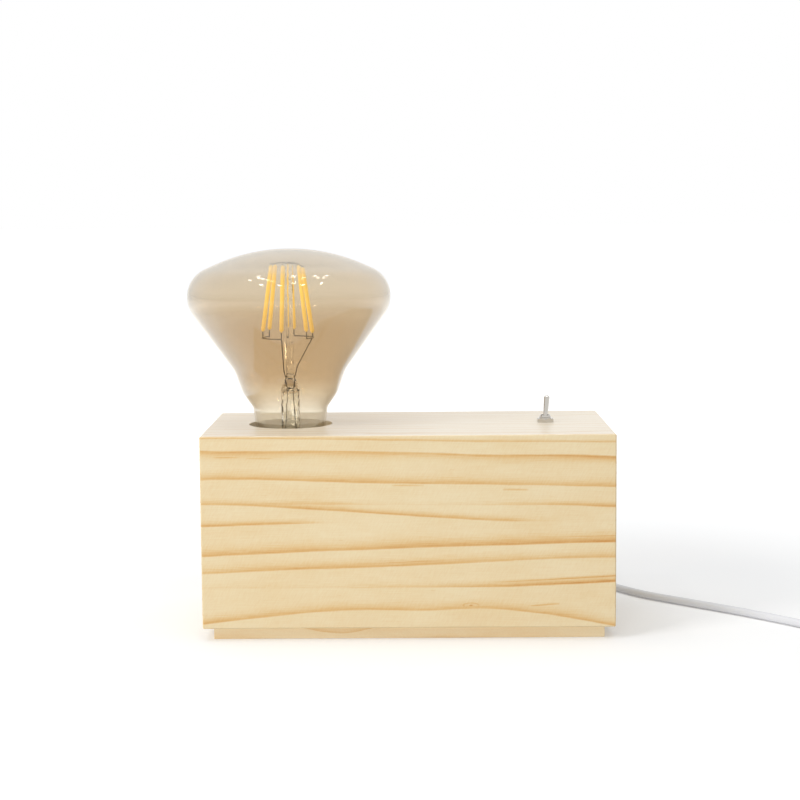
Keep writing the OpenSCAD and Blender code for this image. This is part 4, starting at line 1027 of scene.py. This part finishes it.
def section(along, half_w, half_t, r, dip):
    """Points of one rounded rectangle of the plug, in mm."""
    made = []
    for corner, (sx, sz) in enumerate(((1, 1), (-1, 1), (-1, -1), (1, -1))):
        for k in range(CORNER_STEPS + 1):
            a = pi / 2 * (corner + k / CORNER_STEPS)
            made.append([sx * (half_w - r) + r * cos(a), sz * (half_t - r) + r * sin(a)])
    flat = []
    for (x, z), (x2, z2) in zip(made, made[1:] + made[:1]):
        pieces = max(1, int(hypot(x2 - x, z2 - z) / SIDE_STEP))
        flat += [(x + (x2 - x) * k / pieces, z + (z2 - z) * k / pieces) for k in range(pieces)]
    hollow_w = half_w * 0.72
    return [(x, z * (1 - dip / half_t * max(0.0, 1 - (x / hollow_w) ** 2)), along) for x, z in flat]


def even_loop(points, count):
    """The same closed loop with count evenly spaced points, starting on its right."""
    start = max(range(len(points)), key=lambda i: (points[i][0], -abs(points[i][1])))
    loop = [Vector(p) for p in points[start:] + points[:start]]
    loop.append(loop[0])
    steps = [(b - a).length for a, b in zip(loop, loop[1:])]
    total, made, run, i = sum(steps), [], 0.0, 0
    for k in range(count):
        want = total * k / count
        while run + steps[i] < want:
            run += steps[i]
            i += 1
        made.append(loop[i].lerp(loop[i + 1], (want - run) / max(steps[i], 1e-9)))
    return made


bm = bmesh.new()
loops = []
for part in SECTIONS:
    ring = even_loop(section(*part), SECTION_POINTS)
    loops.append([bm.verts.new([(c + p) * MM for c, p in zip(PLUG, (q.x, q.z, q.y))]) for q in ring])
for lower, upper in zip(loops, loops[1:]):
    band(bm, lower, upper)
bm.faces.new(loops[0])
bm.faces.new(loops[-1])
plug_shell = closed_mesh("plug_shell", bm)
creased(plug_shell, 38)
finished(plug_shell, white_pvc, "lamp", "white_pvc", "plug_body")

# %% Pin sleeves
PIN_HALF_GAP = 9.3
SLEEVE = [(2.0, 0.0), (2.06, 0.0), (2.06, 9.6), (2.03, 9.9), (2.0, 10.0)]
for side, hand in ((-1, "left"), (1, "right")):
    root = (PLUG[0] + side * PIN_HALF_GAP, PLUG[1] + SECTIONS[-1][0], PLUG[2])
    sleeve = turned(f"pin_sleeve_{hand}", SLEEVE, root, 40, axis="Y")
    creased(sleeve, 40)
    finished(sleeve, nylon, "lamp", "clamp_plastic")
print("plug:", len(plug_shell.data.polygons), "faces")

# %% [markdown]
# ## The tie
# New lamps come with the cord wound up and held by a flat tie. It goes once round all the
# turns on the coil's side towards the viewer, pressed a little into the soft cord.

# %% Tie round the coil
tie_r = [COIL_OUT - LAYER_TURNS * COIL_PITCH - CORD / 2 - 0.5, COIL_OUT + CORD / 2 + 0.5]
tie_z = [0.05, COIL_LOW + (LAYERS - 1) * COIL_PITCH + CORD / 2 + 0.5]
TIE_ANGLE, TIE_W, TIE_T, TIE_ROUND = radians(262), 5.0, 0.9, 2.6
outline = []
for corner, (outer, upper) in enumerate(((1, 1), (-1, 1), (-1, -1), (1, -1))):
    for k in range(9):
        a = pi / 2 * (corner + k / 8)
        outline.append((tie_r[outer > 0], tie_z[upper > 0], cos(a), sin(a), outer, upper))
bm = bmesh.new()
rims = []
for wide in (-1, 1):
    for depth in (0.0, TIE_T):
        rim = []
        for r, z, c, s, outer, upper in outline:
            rr = r - outer * TIE_ROUND + (TIE_ROUND - depth) * c
            zz = z - upper * TIE_ROUND + (TIE_ROUND - depth) * s
            side = wide * TIE_W / 2
            x = COIL_CENTRE[0] + rr * cos(TIE_ANGLE) - side * sin(TIE_ANGLE)
            y = COIL_CENTRE[1] + rr * sin(TIE_ANGLE) + side * cos(TIE_ANGLE)
            rim.append(bm.verts.new((x * MM, y * MM, zz * MM)))
        rims.append(rim)
for first, second in ((0, 2), (3, 1), (1, 0), (2, 3)):
    band(bm, rims[first], rims[second])
cord_tie = closed_mesh("cord_tie", bm)
creased(cord_tie, 40)
finished(cord_tie, nylon, "lamp", "clamp_plastic")

# %% Finishing the cord
finished(mains_cord, white_pvc, "lamp", "white_pvc", "cord_free", "cord_coil", "cord_tail")
paint(pins, "plug_pins")

# %% [markdown]
# ## Table and light
# The photograph was cut out on white, and its light is soft and even, from the front left.
# The table is white and keeps the lamp's shadow. The table and the world look white to the
# camera and to whatever mirrors or bends them, and the world lights the object softly from
# all sides. Small ceiling panels give glass and metal their sparkle.

# %% Rays that show the background
def shows_background(tree):
    """1 for camera, glossy and transmission rays, so that metal and glass show it too."""
    path = add(tree, "ShaderNodeLightPath")
    seen = calculate(tree, "MAXIMUM", path.outputs["Is Camera Ray"], path.outputs["Is Glossy Ray"])
    return calculate(tree, "MAXIMUM", seen, path.outputs["Is Transmission Ray"])


# %% Table
TABLE_HALF, TABLE_Z = 20, -0.0001
# The table glows less near the object, where the lamps reach it and its shadow lies: from
# where to where in metres, and how strongly at those places
GLOW_PLACES, GLOW_LEVELS = (0.25, 0.7), (0.2, 0.6)
corners = [(x * TABLE_HALF, y * TABLE_HALF, TABLE_Z) for x, y in ((-1, -1), (1, -1), (1, 1), (-1, 1))]
mesh = bpy.data.meshes.new("table")
mesh.from_pydata(corners, [], [(0, 1, 2, 3)])
table = linked(bpy.data.objects.new("table", mesh))
material, tree, out = new_material("table_white")
matt = add(tree, "ShaderNodeBsdfDiffuse", {"Color": (0.85, 0.85, 0.85, 1)}).outputs[0]
place = add(tree, "ShaderNodeNewGeometry").outputs["Position"]
glow = remap(tree, vector(tree, "LENGTH", place), GLOW_PLACES, GLOW_LEVELS)
glow = add(tree, "ShaderNodeEmission", {"Color": (1, 1, 1, 1), "Strength": glow}).outputs[0]
lifted = add(tree, "ShaderNodeAddShader", {0: matt, 1: glow}).outputs[0]
both = add(tree, "ShaderNodeMixShader", {0: shows_background(tree), 1: matt, 2: lifted}).outputs[0]
tree.links.new(both, out.inputs[0])
table.data.materials.append(material)

# %% World
world = bpy.data.worlds.new("studio")
bpy.context.scene.world = world
world.use_nodes = True
tree = world.node_tree
tree.nodes.clear()
out = add(tree, "ShaderNodeOutputWorld")
white = add(tree, "ShaderNodeBackground", {"Color": (1, 1, 1, 1), "Strength": 1.0}).outputs[0]
fill = add(tree, "ShaderNodeBackground", {"Color": (0.96, 0.98, 1.0, 1), "Strength": 0.5}).outputs[0]
both = add(tree, "ShaderNodeMixShader", {0: shows_background(tree), 1: fill, 2: white}).outputs[0]
tree.links.new(both, out.inputs[0])

# %% Lamps
def softbox(name, place, target, width, height, watts, mirrored, tint=(1, 1, 1)):
    """A soft lamp at a place, turned to its target. Gloss shows it only if it is mirrored."""
    data = bpy.data.lights.new(name, "AREA")
    data.shape, data.size, data.size_y, data.energy, data.color = "RECTANGLE", width, height, watts, tint
    made = bpy.data.objects.new(name, data)
    made.location = place
    made.rotation_euler = (Vector(target) - Vector(place)).to_track_quat("-Z", "Y").to_euler()
    made.visible_glossy = mirrored
    linked(made)


softbox("key_softbox", (-1.2, -0.88, 0.98), (0, 0, 0.08), 0.58, 0.58, 9.4, False, (1.0, 0.985, 0.96))
softbox("front_softbox", (-0.7, -1.7, 0.25), (0, 0, 0.03), 1.4, 0.4, 6, False)
softbox("top_softbox", (-0.35, 0.3, 1.9), (0, 0, 0.08), 1.4, 1.0, 6, False)
# Ceiling panels: small and bright, with little light of their own, as (x, y, watts)
PANELS = [
    (0.0, 0.25, 0.45), (0.4, 0.42, 0.33), (0.54, 0.2, 0.33), (0.24, 0.0, 0.3), (-0.66, 0.42, 0.3),
    (-0.69, 0.15, 0.3), (-0.64, -0.05, 0.3), (-0.56, -0.28, 0.375), (-0.46, -0.5, 0.45), (-1.0, -0.1, 0.3),
    (0.66, 0.24, 0.225), (0.61, 0.6, 0.225), (-0.9, -1.0, 1.35), (-0.3, -1.3, 1.2), (0.5, -1.1, 1.2),
    (1.0, -0.6, 1.05), (0.15, -0.8, 0.9),
]
CEILING, PANEL_W, PANEL_H = 2.05, 0.13, 0.065
for i, (x, y, watts) in enumerate(PANELS):
    softbox(f"ceiling_panel_{i}", (x, y, CEILING), (BULB_X * MM, 0, 0.16), PANEL_W, PANEL_H, watts, True)

# %% View settings
scene = bpy.context.scene
scene.view_settings.view_transform = "Standard"
